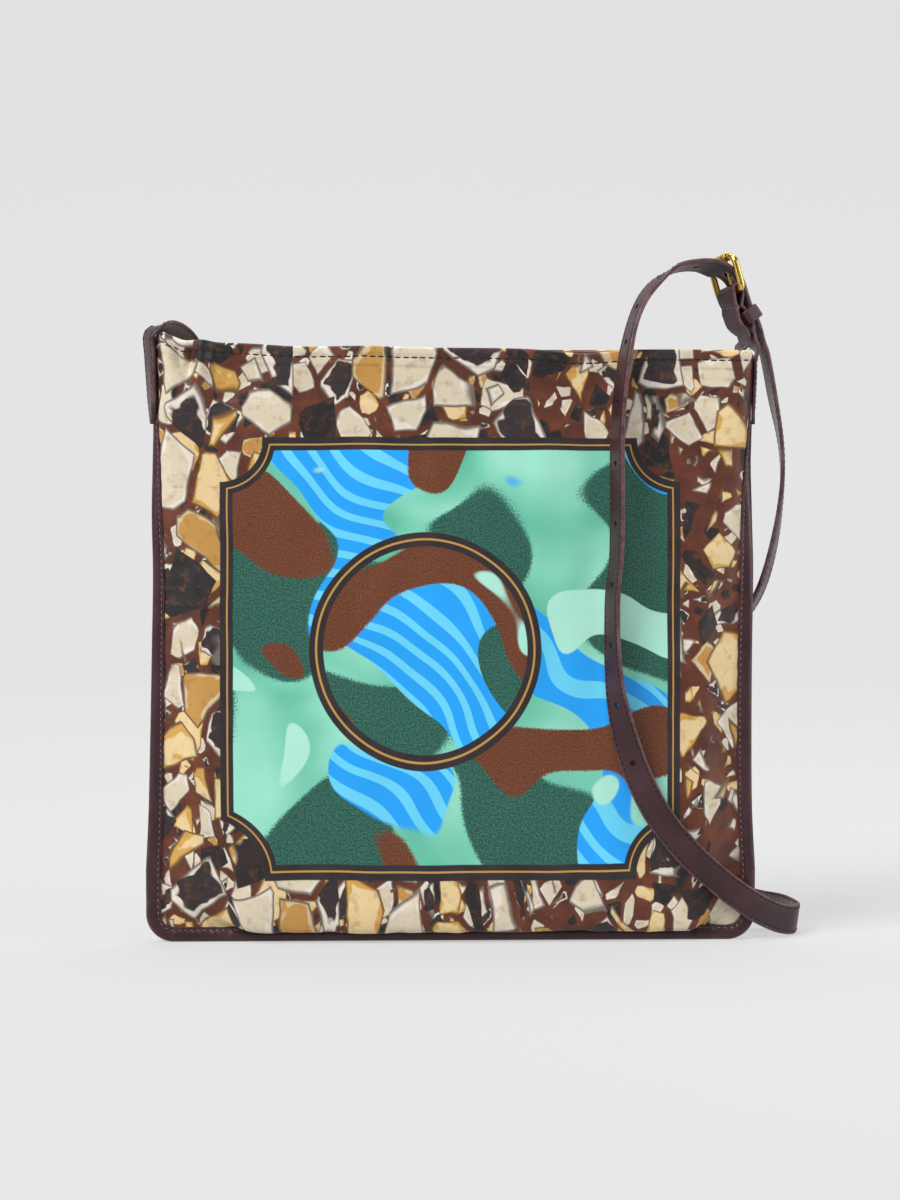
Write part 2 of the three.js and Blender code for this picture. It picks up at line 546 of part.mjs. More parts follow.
// Stations along a table: smooth middle, outer normal and width direction.
function stations(rows, finest) {
  const points = rows.map(at);
  const faces = rows.map((r) => direction(r.azimuth, r.elevation));
  const run = [0];
  for (let i = 1; i < rows.length; i++) run.push(run[i - 1] + points[i].distanceTo(points[i - 1]));
  const last = rows.length - 1;
  const slope = (list, k, name) => {
    const a = Math.max(k - 1, 0), b = Math.min(k + 1, last);
    return (list[b][name] - list[a][name]) / (run[b] - run[a]);
  };
  const blend = (list, i, t, out) => {
    const span = run[i + 1] - run[i];
    for (const name of ['x', 'y', 'z']) {
      out[name] = hermite(list[i][name], slope(list, i, name) * span,
        list[i + 1][name], slope(list, i + 1, name) * span, t);
    }
    return out;
  };
  const result = [];
  for (let i = 0; i < last; i++) {
    const a = points[i + 1].clone().sub(points[i]);
    const before = points[i].clone().sub(points[Math.max(i - 1, 0)]);
    const after = points[Math.min(i + 2, last)].clone().sub(points[i + 1]);
    const bend = Math.max(before.lengthSq() ? a.angleTo(before) : 0,
      after.lengthSq() ? a.angleTo(after) : 0);
    const twist = faces[i].angleTo(faces[i + 1]);
    const n = Math.max(1, Math.ceil(Math.max(bend, twist) / rad(finest)), Math.ceil(a.length() / 40));
    for (let k = 0; k < n + (i === last - 1 ? 1 : 0); k++) {
      const t = k / n;
      result.push({
        middle: blend(points, i, t, V()),
        face: blend(faces, i, t, V()).normalize(),
        width: mix(rows[i].width ?? STRAP_W, rows[i + 1].width ?? STRAP_W, t),
      });
    }
  }
  result.forEach((s, k) => {
    const a = result[Math.max(k - 1, 0)].middle, b = result[Math.min(k + 1, result.length - 1)].middle;
    s.along = b.clone().sub(a).normalize();
    s.face.addScaledVector(s.along, -s.face.dot(s.along)).normalize();
    s.across = s.along.clone().cross(s.face).normalize();
  });
  return result;
}

const BAND_CAP = [[0, 1, 2], [0, 2, 3]];
function band(list, thickness) {
  return loft(list.map((s) => [[-1, -1], [1, -1], [1, 1], [-1, 1]].map(([u, v]) => s.middle.clone()
    .addScaledVector(s.across, u * s.width / 2).addScaledVector(s.face, v * thickness / 2))), BAND_CAP);
}

// Row of a sewn strap end on the outer (1) or inner (-1) side of the binding.
function tabRow(side, layer, z, thickness, width) {
  const f = sideFrame(side, z);
  const p = sidePoint(f, layer < 0 ? TAB_REACH_INNER : side < 0 ? TAB_REACH_LEFT : TAB_REACH_RIGHT,
    layer * (BIND_T / 2 + TAB_GAP + thickness / 2));
  return { x: p.x, y: p.y, z, azimuth: THREE.MathUtils.radToDeg(Math.atan2(f.front.y, f.front.x)),
    elevation: 0, width };
}

// Pointed end, then full width up to the top of the binding.
function tabRows(side, tip, top, thickness) {
  const POINT = [{ up: 0, width: 3 }, { up: 6, width: 10 }, { up: 13, width: STRAP_W }];
  const rows = POINT.map((p) => tabRow(side, 1, tip + p.up, thickness, p.width));
  for (const share of [0.4, 0.7, 1]) {
    rows.push(tabRow(side, 1, mix(tip + 13, top, share), thickness, STRAP_W));
  }
  return rows;
}

const strapRows = [...tabRows(-1, TAB_TIP_LEFT, TAB_TOP_LEFT, STRAP_T), ...STRAP];
const strapStations = stations(strapRows, 18);

// Nearest point of the strap's middle line to a given length from its start.
const strapRun = [0];
strapStations.forEach((s, k) => {
  if (k) strapRun.push(strapRun[k - 1] + s.middle.distanceTo(strapStations[k - 1].middle));
});
function onStrap(length) {
  let k = 0;
  while (k + 2 < strapRun.length && strapRun[k + 1] < length) k++;
  const t = (length - strapRun[k]) / (strapRun[k + 1] - strapRun[k]);
  const a = strapStations[k], b = strapStations[k + 1];
  return { middle: a.middle.clone().lerp(b.middle, t), face: a.face.clone().lerp(b.face, t).normalize(),
    along: b.middle.clone().sub(a.middle).normalize() };
}

// ---------------------------------------------------------------- buckle frame

// Axes of the buckle: bar towards the viewer, up along the frame, outwards.
const heel = at(HEEL);
const barAxis = direction(BAR_AZIMUTH, BAR_RISE);
const outAxis = direction(BAR_AZIMUTH + 90, FRAME_LEAN);
outAxis.addScaledVector(barAxis, -outAxis.dot(barAxis)).normalize();
const upAxis = outAxis.clone().cross(barAxis).normalize();
if (upAxis.z < 0) upAxis.negate();
const inBuckle = (bar, up, out) => heel.clone().addScaledVector(barAxis, bar)
  .addScaledVector(upAxis, up).addScaledVector(outAxis, out);

function wireFrame() {
  const w = FRAME_W / 2, CORNER = 5, SIDES_OF_WIRE = 10;
  const path = [];
  const arc = (sideways, up, r, from) => {
    for (let i = 0; i <= CORNER; i++) {
      const a = from + i / CORNER * Math.PI / 2, nb = Math.cos(a), nu = Math.sin(a);
      path.push({ bar: sideways * (w - r) + r * nb, up: up + r * nu, nb, nu });
    }
  };
  arc(1, FRAME_L - FRAME_R_END, FRAME_R_END, 0);
  arc(-1, FRAME_L - FRAME_R_END, FRAME_R_END, Math.PI / 2);
  arc(-1, FRAME_R_HEEL, FRAME_R_HEEL, Math.PI);
  arc(1, FRAME_R_HEEL, FRAME_R_HEEL, 1.5 * Math.PI);
  return loft(path.map((p) => Array.from({ length: SIDES_OF_WIRE }, (_, k) => {
    const a = 2 * Math.PI * k / SIDES_OF_WIRE, c = Math.cos(a) * WIRE_D / 2;
    return inBuckle(p.bar + c * p.nb, p.up + c * p.nu, Math.sin(a) * WIRE_D / 2);
  })), null);
}
add('buckle_frame', wireFrame(), 0xc9a24a, 0.28, 1);

// Geometry made along +Y, turned so that +Y is the bar's direction.
function onBar(geometry, up) {
  const m = new THREE.Matrix4().makeBasis(outAxis, barAxis, upAxis);
  if (m.determinant() < 0) m.makeBasis(outAxis.clone().negate(), barAxis, upAxis);
  return geometry.applyMatrix4(m.setPosition(inBuckle(0, up, 0)));
}

const rollerProfile = [
  [ROLLER_BORE / 2, -ROLLER_W / 2], [ROLLER_D / 2, -ROLLER_W / 2],
  [ROLLER_D / 2, ROLLER_W / 2], [ROLLER_BORE / 2, ROLLER_W / 2], [ROLLER_BORE / 2, -ROLLER_W / 2],
].map(([x, y]) => new THREE.Vector2(x, y));
add('buckle_roller', onBar(new THREE.LatheGeometry(rollerProfile, 20), FRAME_L), 0xc9a24a, 0.25, 1);

// Prong: an open eye hooked under the heel bar, then up to the roller.
function prong() {
  const eye = WIRE_D / 2 + 1.7 * GAP + PRONG_D / 2, rest = ROLLER_D / 2 + 1.6 * GAP + PRONG_D / 2;
  const path = [-95, -60, -25, 10, 42].map((turn) =>
    inBuckle(0, eye * Math.sin(rad(turn)), eye * Math.cos(rad(turn))));
  path.push(inBuckle(0, 0.32 * FRAME_L, 0.7 * eye), inBuckle(0, 0.6 * FRAME_L, 0.6 * eye),
    inBuckle(0, FRAME_L, rest), inBuckle(0, FRAME_L + 2.4, rest + 0.4));
  const SIDES_OF_PRONG = 8;
  const section = new THREE.Shape(Array.from({ length: SIDES_OF_PRONG }, (_, k) => new THREE.Vector2(
    Math.cos(2 * Math.PI * k / SIDES_OF_PRONG), Math.sin(2 * Math.PI * k / SIDES_OF_PRONG))
    .multiplyScalar(PRONG_D / 2)));
  return new THREE.ExtrudeGeometry(section, {
    steps: 26, bevelEnabled: false, extrudePath: new THREE.CatmullRomCurve3(path),
  });
}
const prongGeometry = prong();
add('buckle_prong', prongGeometry, 0xc9a24a, 0.28, 1);

// ---------------------------------------------------------------- chape

function chapeRows() {
  const legs = { outer: [], inner: [] };
  for (const row of CHAPE) {
    const face = direction(row.azimuth, row.elevation);
    for (const [leg, sign] of [['outer', 1], ['inner', -1]]) {
      const p = at(row).addScaledVector(face, sign > 0 ? row.apart / 2 : -row.apart / 2 - row.swell);
      legs[leg].push({ x: p.x, y: p.y, z: p.z, azimuth: row.azimuth,
        elevation: row.elevation, width: row.width });
    }
  }
  const rows = tabRows(1, TAB_TIP_RIGHT, TAB_TOP_RIGHT, CHAPE_T);
  rows.push(...legs.outer.reverse());
  const round = WIRE_D / 2 + GAP + CHAPE_T / 2;
  for (const turn of [-5, 40, 90, 140, 185]) {
    const p = inBuckle(0, round * Math.sin(rad(turn)), round * Math.cos(rad(turn)));
    const n = outAxis.clone().multiplyScalar(Math.cos(rad(turn)))
      .addScaledVector(upAxis, Math.sin(rad(turn)));
    rows.push({ x: p.x, y: p.y, z: p.z, width: CHAPE[0].width,
      azimuth: THREE.MathUtils.radToDeg(Math.atan2(n.y, n.x)),
      elevation: THREE.MathUtils.radToDeg(Math.asin(n.z)) });
  }
  for (const row of legs.inner) {
    const n = direction(row.azimuth, row.elevation).negate();
    rows.push({ x: row.x, y: row.y, z: row.z, width: row.width,
      azimuth: THREE.MathUtils.radToDeg(Math.atan2(n.y, n.x)),
      elevation: THREE.MathUtils.radToDeg(Math.asin(n.z)) });
  }
  const end = tabRow(1, -1, CHAPE_SHORT_END, CHAPE_T, STRAP_W);
  rows.push({ ...end, azimuth: end.azimuth + 180 });
  return rows;
}

function box(barSize, upSize, outSize, bar, up, out) {
  const m = new THREE.Matrix4().makeBasis(barAxis, upAxis, outAxis);
  if (m.determinant() < 0) m.makeBasis(barAxis.clone().negate(), upAxis, outAxis);
  return new THREE.BoxGeometry(barSize, upSize, outSize).applyMatrix4(m.setPosition(inBuckle(bar, up, out)));
}

const chape = solid(band(stations(chapeRows(), 20), CHAPE_T))
  .subtract(solid(box(SLOT_W, 13.5, 8, 0, -0.4, 4.4)));
add('buckle_chape', surface(chape), 0x4b3438, 0.45, 0);

// ---------------------------------------------------------------- strap holes

// Length from the strap's start to its point nearest to a target, of those that
// a test admits.
function nearest(target, admit) {
  let best = 0, least = Infinity;
  for (let s = 0; s < strapRun[strapRun.length - 1]; s += 0.5) {
    const p = onStrap(s).middle, d = target(p);
    if (admit(p) && d < least) { least = d; best = s; }
  }
  return best;
}

function punch(length, across, along) {
  const s = onStrap(length);
  const hole = new THREE.CylinderGeometry(0.5, 0.5, 4 * STRAP_T, 12).scale(across, 1, along);
  const side = s.face.clone().cross(s.along).normalize();
  const m = new THREE.Matrix4().makeBasis(side, s.face, side.clone().cross(s.face));
  return hole.applyMatrix4(m.setPosition(s.middle));
}

let strap = solid(band(strapStations, STRAP_T));
// The prong's hole is where the prong crosses the strap's middle line.
const crossing = inBuckle(0, 0.49 * FRAME_L, 2.4);
const prongAt = nearest((p) => p.distanceTo(crossing), () => true);
const hemAt = nearest((p) => Math.abs(p.z - HOLE_Z), (p) => p.y < 0 && p.x > 0);
const holes = [{ length: prongAt, across: PRONG_HOLE_D, along: PRONG_HOLE_L }];
for (let i = 0; i <= HOLES_BELOW; i++) {
  holes.push({ length: hemAt - i * HOLE_PITCH, across: HOLE_D, along: HOLE_D });
}
for (let i = 1; i <= HOLES_ABOVE; i++) {
  holes.push({ length: mix(hemAt, prongAt, i / (HOLES_ABOVE + 1)), across: HOLE_D, along: HOLE_D });
}
for (const hole of holes) strap = strap.subtract(solid(punch(hole.length, hole.across, hole.along)));
add('strap', surface(strap), 0x4b3438, 0.42, 0);

// ---------------------------------------------------------------- keeper loop

// The loop goes round the strap and the chape's outer leg, and between the legs.
function keeper() {
  const row = {};
  for (const name of ['x', 'y', 'z', 'azimuth', 'elevation', 'apart']) {
    row[name] = mix(CHAPE[KEEPER_ROW][name], CHAPE[KEEPER_ROW + 1][name], KEEPER_SHARE);
  }
  const face = direction(row.azimuth, row.elevation);
  const from = row.apart / 2 - CHAPE_T / 2 - 4 * GAP;
  const to = row.apart / 2 + CHAPE_T / 2 + GAP + STRAP_T + 2.2;
  const w = STRAP_W / 2 + 0.7;
  const outline = (grow, Kind) => {
    const s = new Kind(), r = 1 + grow;
    const x = w + grow, lo = from - grow, hi = to + grow;
    s.moveTo(-x + r, lo);
    s.lineTo(x - r, lo).absarc(x - r, lo + r, r, -Math.PI / 2, 0, false);
    s.lineTo(x, hi - r).absarc(x - r, hi - r, r, 0, Math.PI / 2, false);
    s.lineTo(-x + r, hi).absarc(-x + r, hi - r, r, Math.PI / 2, Math.PI, false);
    s.lineTo(-x, lo + r).absarc(-x + r, lo + r, r, Math.PI, 1.5 * Math.PI, false);
    return s;
  };
  const shape = outline(KEEPER_T, THREE.Shape);
  shape.holes.push(outline(0, THREE.Path));
  const geometry = new THREE.ExtrudeGeometry(shape, { depth: KEEPER_W, bevelEnabled: false, curveSegments: 4 });
  geometry.translate(0, 0, -KEEPER_W / 2);
  const along = at(CHAPE[KEEPER_ROW - 1]).sub(at(CHAPE[KEEPER_ROW + 1])).normalize();
  face.addScaledVector(along, -face.dot(along)).normalize();
  const across = face.clone().cross(along);
  return geometry.applyMatrix4(new THREE.Matrix4().makeBasis(across, face, along).setPosition(at(row)));
}
add('keeper_loop', keeper(), 0x4b3438, 0.45, 0);

export default bag;
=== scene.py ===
import math

import bpy
import numpy as np
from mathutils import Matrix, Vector


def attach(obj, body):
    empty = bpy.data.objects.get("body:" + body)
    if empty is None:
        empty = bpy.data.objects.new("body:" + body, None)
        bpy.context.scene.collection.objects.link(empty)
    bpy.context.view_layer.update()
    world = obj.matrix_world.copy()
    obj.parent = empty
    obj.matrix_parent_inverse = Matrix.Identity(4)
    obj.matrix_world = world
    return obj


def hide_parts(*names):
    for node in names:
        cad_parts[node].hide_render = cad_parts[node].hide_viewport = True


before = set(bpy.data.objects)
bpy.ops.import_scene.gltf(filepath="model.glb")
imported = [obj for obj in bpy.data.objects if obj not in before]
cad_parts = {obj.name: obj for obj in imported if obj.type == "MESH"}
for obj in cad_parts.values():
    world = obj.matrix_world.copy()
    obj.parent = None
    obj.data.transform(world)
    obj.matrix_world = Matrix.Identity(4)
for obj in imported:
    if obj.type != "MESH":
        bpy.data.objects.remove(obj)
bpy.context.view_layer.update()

MM = 0.001
scene = bpy.context.scene
rng = np.random.default_rng(11)

# ------------------------------------------------------------------ camera

CAM_AIM = Vector((0.0, 0.0, 0.1906))
CAM_DISTANCE = 2.0
CAM_AZIMUTH, CAM_ELEVATION = -1.5, 5.0

cam_data = bpy.data.cameras.new("camera")
cam_data.sensor_fit = "VERTICAL"
cam_data.sensor_height = 36.0
cam_data.lens = 36.0 * CAM_DISTANCE / 0.6647
cam_data.dof.use_dof = False
camera = bpy.data.objects.new("camera", cam_data)
scene.collection.objects.link(camera)
_a, _e = math.radians(CAM_AZIMUTH), math.radians(CAM_ELEVATION)
camera.location = CAM_AIM + CAM_DISTANCE * Vector(
    (math.sin(_a) * math.cos(_e), -math.cos(_a) * math.cos(_e), math.sin(_e)))
camera.rotation_euler = (CAM_AIM - camera.location).to_track_quat("-Z", "Y").to_euler()
scene.camera = camera
scene.view_settings.view_transform = "Standard"
scene.view_settings.look = "None"

# ------------------------------------------------------------------ sizes

CLOTH_T, HEM_T, HEM_DEPTH = 1.6, 2.4, 9.5
CLOTH_APART = 0.96
CLOTH_IN = 2.2
BIND_W, BIND_T = 8.4, 7.4
CORNER_R = 15.5
BIND_TOP_LEFT, BIND_TOP_RIGHT = 329.4, 326.4
STRAP_W, STRAP_T = 15.5, 2.4
TAB_REACH, TAB_REACH_INNER = {-1: 4.4, 1: 7.2}, 11.2
# Sewn ends press the binding down to this level, and lie on it.
TAB_LEVEL, TAB_GAP = 3.0, 0.12
TAB_TIP_LEFT, TAB_TOP_LEFT = 288.0, 326.0
TAB_TIP_RIGHT, TAB_TOP_RIGHT = 287.5, 322.0
HOLE_D, HOLE_PITCH, HOLE_Z, HOLES_BELOW, HOLES_ABOVE = 3.4, 33.3, 332.7, 7, 3
PRONG_HOLE_D, PRONG_HOLE_L = 3.8, 9.0
CHAPE_T, CHAPE_SHORT_END, SLOT_W = 2.0, 319.0, 4.0
WIRE_D, FRAME_W, FRAME_L = 3.7, 21.4, 19.2
FRAME_R_HEEL, FRAME_R_END = 2.6, 5.0
ROLLER_D, ROLLER_BORE, ROLLER_W = 5.4, 4.4, 11.0
PRONG_D = 2.2
KEEPER_W, KEEPER_T = 7.6, 1.2
GAP = 0.3

# Side seams by height: seam x and y, and the binding's turn, left and right.
SIDES = [
    (40, -160.8, 0.0, 0, 162.0, 0.0, 0),
    (75, -159.0, 0.0, 8, 160.1, 0.0, 0),
    (120, -157.9, 0.0, 20, 159.5, 0.0, 2),
    (165, -157.0, 0.0, 28, 159.5, 0.0, 6),
    (205, -156.4, 0.3, 34, 159.9, -0.2, 16),
    (238, -157.4, 0.8, 44, 159.8, -0.5, 38),
    (265, -157.8, 1.6, 58, 160.9, -1.0, 64),
    (290, -158.9, 3.0, 76, 163.1, -1.5, 82),
    (315, -159.5, 4.6, 72, 164.3, -1.5, 88),
    (340, -160.3, 6.0, 66, 164.7, -1.5, 88),
]
# Cloth rows: height near the corners, height in the middle, bulge in the
# middle and near the corners.
ROWS = [
    (2.2, 2.2, 1.0, 1.0), (9.0, 9.0, 1.0, 1.0), (11.0, 10.2, 2.6, 1.3),
    (13.5, 10.3, 5.3, 1.9), (16.5, 8.3, 8.2, 2.8), (20.0, 7.0, 10.2, 3.9),
    (25.0, 9.6, 11.9, 5.4), (33.0, 17.5, 12.7, 7.4), (46.0, 32.0, 12.9, 9.6),
    (64.0, 54.0, 12.9, 11.2), (88.0, 82.0, 12.8, 12.2), (115.0, 112.5, 12.6, 12.5),
    (143.0, 142.0, 12.4, 12.4), (171.0, 171.0, 12.0, 12.0), (199.0, 199.0, 11.4, 11.4),
    (219.0, 219.0, 10.8, 10.8), (236.0, 236.0, 10.2, 10.2), (252.0, 252.0, 9.5, 9.5),
    (267.0, 267.0, 8.7, 8.7), (283.0, 283.0, 7.7, 7.7), (298.0, 298.0, 6.8, 6.8),
    (310.0, 310.0, 6.1, 6.1), (319.5, 319.5, 5.7, 5.7), (329.0, 329.0, 5.4, 5.4),
]
TOP_Z, WAVE_FROM = 329.0, 262.0
TOP_FRONT = [
    (-162, 334.4), (-158.6, 338.0), (-154, 336.0), (-146, 333.0), (-136, 333.5), (-128, 332.0), (-110, 331.3),
    (-82, 329.7), (-46, 330.1), (-20, 329.2), (40, 328.4), (70, 326.0), (86, 326.6), (102, 327.9),
    (165, 327.6),
]
TOP_BACK = [
    (-162, 333.0), (-140, 331.0), (-90, 329.0), (60, 327.5), (165, 327.4),
]
# Folds: x, z, half length, half width, lean, depth inwards.
FOLDS_FRONT = [
    (-147, 324, 8, 6, 0, 2.6), (-136, 322, 16, 5, 2, -1.8), (-120, 306, 26, 12, 38, 1.8),
    (-140, 268, 40, 10, 8, 1.6), (-142, 170, 45, 11, -4, 1.3), (70, 318, 18, 14, -6, 1.6),
    (20, 285, 45, 26, -14, 1.4), (146, 250, 34, 10, 6, 1.8), (-60, 40, 16, 24, 20, 1.4),
    (40, 36, 15, 22, -16, 1.5), (112, 44, 20, 16, -30, 1.6),
]
FOLDS_BACK = [(-120, 300, 34, 14, 34, 2.0), (118, 292, 34, 14, -30, 2.0), (0, 60, 24, 40, 0, 1.6)]
# Smaller drags and creases that only the fine surface carries.
CREASES_FRONT = [
    (-142.4, 324, 9, 3.0, 8, 4.2), (-136.0, 326, 13, 2.8, 1, -2.4), (-130.8, 321, 13, 2.6, 5, 1.6), (-150.0, 326, 8, 2.6, -10, 2.0), (-126, 309, 22, 3.0, 30, 0.55),
    (-117, 300, 26, 4.5, 40, -0.5), (-108, 312, 18, 4.0, 52, 0.45), (-149, 300, 22, 3.2, 6, 0.6),
    (-144, 246, 26, 3.0, 4, -0.45), (-146, 210, 24, 3.4, -5, 0.5), (-147, 130, 30, 3.6, 3, 0.5),
    (-143, 92, 26, 3.8, -6, -0.45), (-138, 52, 20, 5.0, -24, 0.6), (-112, 34, 13, 6.0, 58, 0.5),
    (-84, 26, 9, 12.0, 8, -0.6), (-30, 28, 9, 14.0, -6, 0.55), (10, 25, 8, 13.0, 4, -0.55),
    (66, 26, 9, 12.0, -10, 0.55), (96, 30, 11, 9.0, -30, -0.5), (134, 48, 18, 5.0, 26, 0.6),
    (147, 96, 26, 3.6, 4, 0.5), (150, 150, 26, 3.4, -3, -0.4), (148, 205, 24, 3.4, 6, 0.55),
    (151, 268, 22, 3.2, 3, -0.5), (143, 292, 24, 4.0, -14, 0.6), (128, 308, 18, 5.0, -36, 0.5),
    (104, 316, 14, 4.5, -12, -0.5), (84, 314, 15, 4.0, 8, 0.5), (58, 316, 13, 4.5, -14, -0.45),
    (30, 312, 17, 5.5, 12, 0.4), (-12, 314, 15, 5.0, -6, -0.35), (-48, 312, 16, 5.0, 8, 0.4),
    (-84, 314, 14, 4.6, 16, -0.4), (-30, 236, 60, 9.0, 24, 0.7), (48, 190, 70, 10.0, -18, 0.7), (12, 272, 34, 7.0, 4, 0.8), (34, 268, 30, 6.0, -3, -0.6),
    (-76, 150, 60, 10.0, 10, -0.6), (104, 232, 50, 7.0, -8, 0.45), (4, 92, 42, 11.0, -34, 0.7), (-64, 262, 36, 8.0, -12, 0.7),
]
# Strap after its sewn end: middle, direction of its outer face, width.
STRAP = [
    (-166.0, 7.6, 336.0, 202, 25, 15.5), (-164.2, 8.1, 339.2, 205, 43, 15.5),
    (-161.2, 9.0, 340.9, 200, 63, 15.5), (-158.2, 10.4, 341.2, 135, 66, 15.5),
    (-155.2, 12.3, 339.6, 112, 49, 15.5), (-151.6, 14.9, 337.7, 103, 41, 15.5),
    (-147.8, 18.2, 334.3, 98, 35, 15.5), (-144.2, 22.0, 328.8, 88, 30, 15.5),
    (-138.6, 25.4, 317.0, 78, 14, 15.5), (-120.0, 24.0, 288.0, 264, 180, 15.5),
    (-84.0, 20.0, 248.0, 270, 180, 15.5), (-30.0, 17.6, 192.0, 270, 180, 15.5),
    (30.0, 17.2, 132.0, 270, 180, 15.5), (84.0, 18.4, 78.0, 270, 180, 15.5),
    (128.0, 21.6, 39.0, 268, 180, 15.5), (154.0, 26.0, 21.5, 262, 180, 15.8),
    (176.0, 30.6, 14.4, 258, 180, 16.2), (189.5, 28.6, 12.2, 220, 176, 16.4),
    (196.1, 20.5, 9.4, 184, 187, 16.4), (193.2, 11.0, 8.6, 142, 184, 16.4), (184.0, 3.0, 11.3, 118, 180, 16.4),
    (169.0, -7.2, 19.9, 106, 180, 16.0), (149.0, -12.0, 35.0, 98, 180, 15.5),
    (130.0, -15.6, 53.0, 92, 180, 15.5), (113.5, -17.4, 74.6, 86, 180, 15.5),
    (103.0, -18.8, 96.0, 76, 180, 15.5), (95.5, -20.0, 119.0, 58, 180, 15.5),
    (90.0, -21.0, 147.0, 34, 180, 15.5), (88.6, -21.4, 190.0, 23, 180, 15.5),
    (91.0, -20.8, 220.0, 22, 180, 15.5), (91.6, -18.4, 290.0, 21, 180, 15.5),
    (96.1, -15.2, 328.4, 18, 172, 15.5), (102.4, -7.0, 349.9, 14, 156, 15.5),
    (111.4, -0.6, 363.8, 15, 134, 15.5), (124.2, 2.6, 373.2, 60, 76, 15.5), (136.2, 3.6, 375.3, 68, 66, 15.5),
    (146.4, 5.0, 373.5, 68, 46, 15.5), (152.6, 8.0, 371.5, 46, 38, 15.5), (158.0, 9.8, 366.1, 36, 26, 15.5),
    (161.4, 9.6, 356.6, 33, 22, 15.5), (164.0, 9.5, 349.7, 31, 25, 15.5), (167.2, 9.2, 344.2, 27, 22, 15.5),
    (169.0, 9.6, 340.6, 23, 22, 15.5), (172.1, 10.2, 333.2, 13, 17, 15.5), (174.8, 10.6, 326.8, 10, 13, 15.5),
    (179.9, 11.4, 301.0, 8, 9, 15.5), (184.2, 11.9, 278.5, 0, 5, 15.5), (185.6, 12.4, 260.0, -6, 0, 15.5),
    (184.4, 13.6, 241.0, -11, -6, 15.5), (181.2, 15.6, 219.5, -17, -13, 15.5),
    (176.2, 19.2, 199.0, -22, -18, 15.5), (170.0, 22.8, 184.5, -22, -22, 15.5),
    (160.5, 25.6, 170.0, -10, -18, 15.5), (151.0, 26.4, 157.5, 10, -10, 15.2),
    (147.0, 26.2, 151.5, 18, -8, 12.0), (144.2, 26.0, 147.6, 20, -8, 5.0),
]
HEEL = np.array([155.4, 6.0, 360.0])
BAR_AZIMUTH, BAR_RISE, FRAME_LEAN = -57.3, 17.0, 6.2
# Chape: middle between the legs, outer face, distance of the legs, swell of the inner leg, width.
CHAPE = [
    (156.1, 6.5, 351.7, 32.6, 8, 3.5, 0.1, 15.0), (159.7, 6.9, 347.0, 31, 25, 4.4, 1.8, 15.3),
    (162.7, 6.8, 342.0, 27, 22, 4.4, 1.8, 15.5), (164.7, 6.5, 337.2, 18, 11, 3.2, 0.0, 15.5),
    (165.1, 6.3, 332.8, 11, 5, 6.0, 0.0, 15.5), (164.8, 6.2, 328.2, -1, 1, 11.0, 0.0, 15.5),
]
KEEPER_ROW, KEEPER_SHARE = 1, 0.46

# ------------------------------------------------------------------ helpers


def hermite(p0, m0, p1, m1, t):
    t2, t3 = t * t, t * t * t
    return (2 * t3 - 3 * t2 + 1) * p0 + (t3 - 2 * t2 + t) * m0 + (3 * t2 - 2 * t3) * p1 + (t3 - t2) * m1


def curve(xs, ys):
    """Smooth curve through a table, flat beyond its ends."""
    xs, ys = np.asarray(xs, float), np.asarray(ys, float)
    n = len(xs)
    k = np.arange(n)
    lo, hi = np.maximum(k - 1, 0), np.minimum(k + 1, n - 1)
    m = (ys[hi] - ys[lo]) / (xs[hi] - xs[lo])

    def f(w):
        w = np.clip(np.asarray(w, float), xs[0], xs[-1])
        i = np.clip(np.searchsorted(xs, w, side="left") - 1, 0, n - 2)
        span = xs[i + 1] - xs[i]
        return hermite(ys[i], m[i] * span, ys[i + 1], m[i + 1] * span, (w - xs[i]) / span)
    return f


def step(x, lo, hi):
    t = np.clip((np.asarray(x, float) - lo) / (hi - lo), 0, 1)
    return t * t * (3 - 2 * t)


def mix(a, b, t):
    return a + (b - a) * t


def unit(v):
    v = np.asarray(v, float)
    return v / np.maximum(np.linalg.norm(v, axis=-1, keepdims=True), 1e-12)


def direction(azimuth, elevation):
    a, e = np.radians(azimuth), np.radians(elevation)
    return np.stack([np.cos(a) * np.cos(e), np.sin(a) * np.cos(e), np.sin(e)], axis=-1)


def make(name, verts, faces, mats, face_mats=None, attrs=None, sharp=None):
    """Mesh object in metres from millimetre points."""
    me = bpy.data.meshes.new(name)
    me.from_pydata((np.asarray(verts) * MM).tolist(), [], [tuple(int(i) for i in f) for f in faces])
    me.polygons.foreach_set("use_smooth", np.ones(len(me.polygons), bool))
    for m in mats:
        me.materials.append(m)
    if face_mats is not None:
        me.polygons.foreach_set("material_index", np.asarray(face_mats, np.int32))
    for key, values in (attrs or {}).items():
        values = np.asarray(values, np.float32)
        if values.ndim == 2:
            me.attributes.new(key, "FLOAT_VECTOR", "POINT").data.foreach_set("vector", values.ravel())
        else:
            me.attributes.new(key, "FLOAT", "POINT").data.foreach_set("value", values)
    me.update()
    if sharp is not None:
        me.set_sharp_from_angle(angle=math.radians(sharp))
    ob = bpy.data.objects.new(name, me)
    scene.collection.objects.link(ob)
    return ob


def outward(verts, faces):
    """Faces turned so that the closed mesh's volume is positive."""
    v = np.asarray(verts)
    vol = 0.0
    for f in faces:
        p0 = v[f[0]]
        for i in range(1, len(f) - 1):
            vol += float(np.dot(p0, np.cross(v[f[i]], v[f[i + 1]])))
    return faces if vol > 0 else [tuple(reversed(f)) for f in faces]


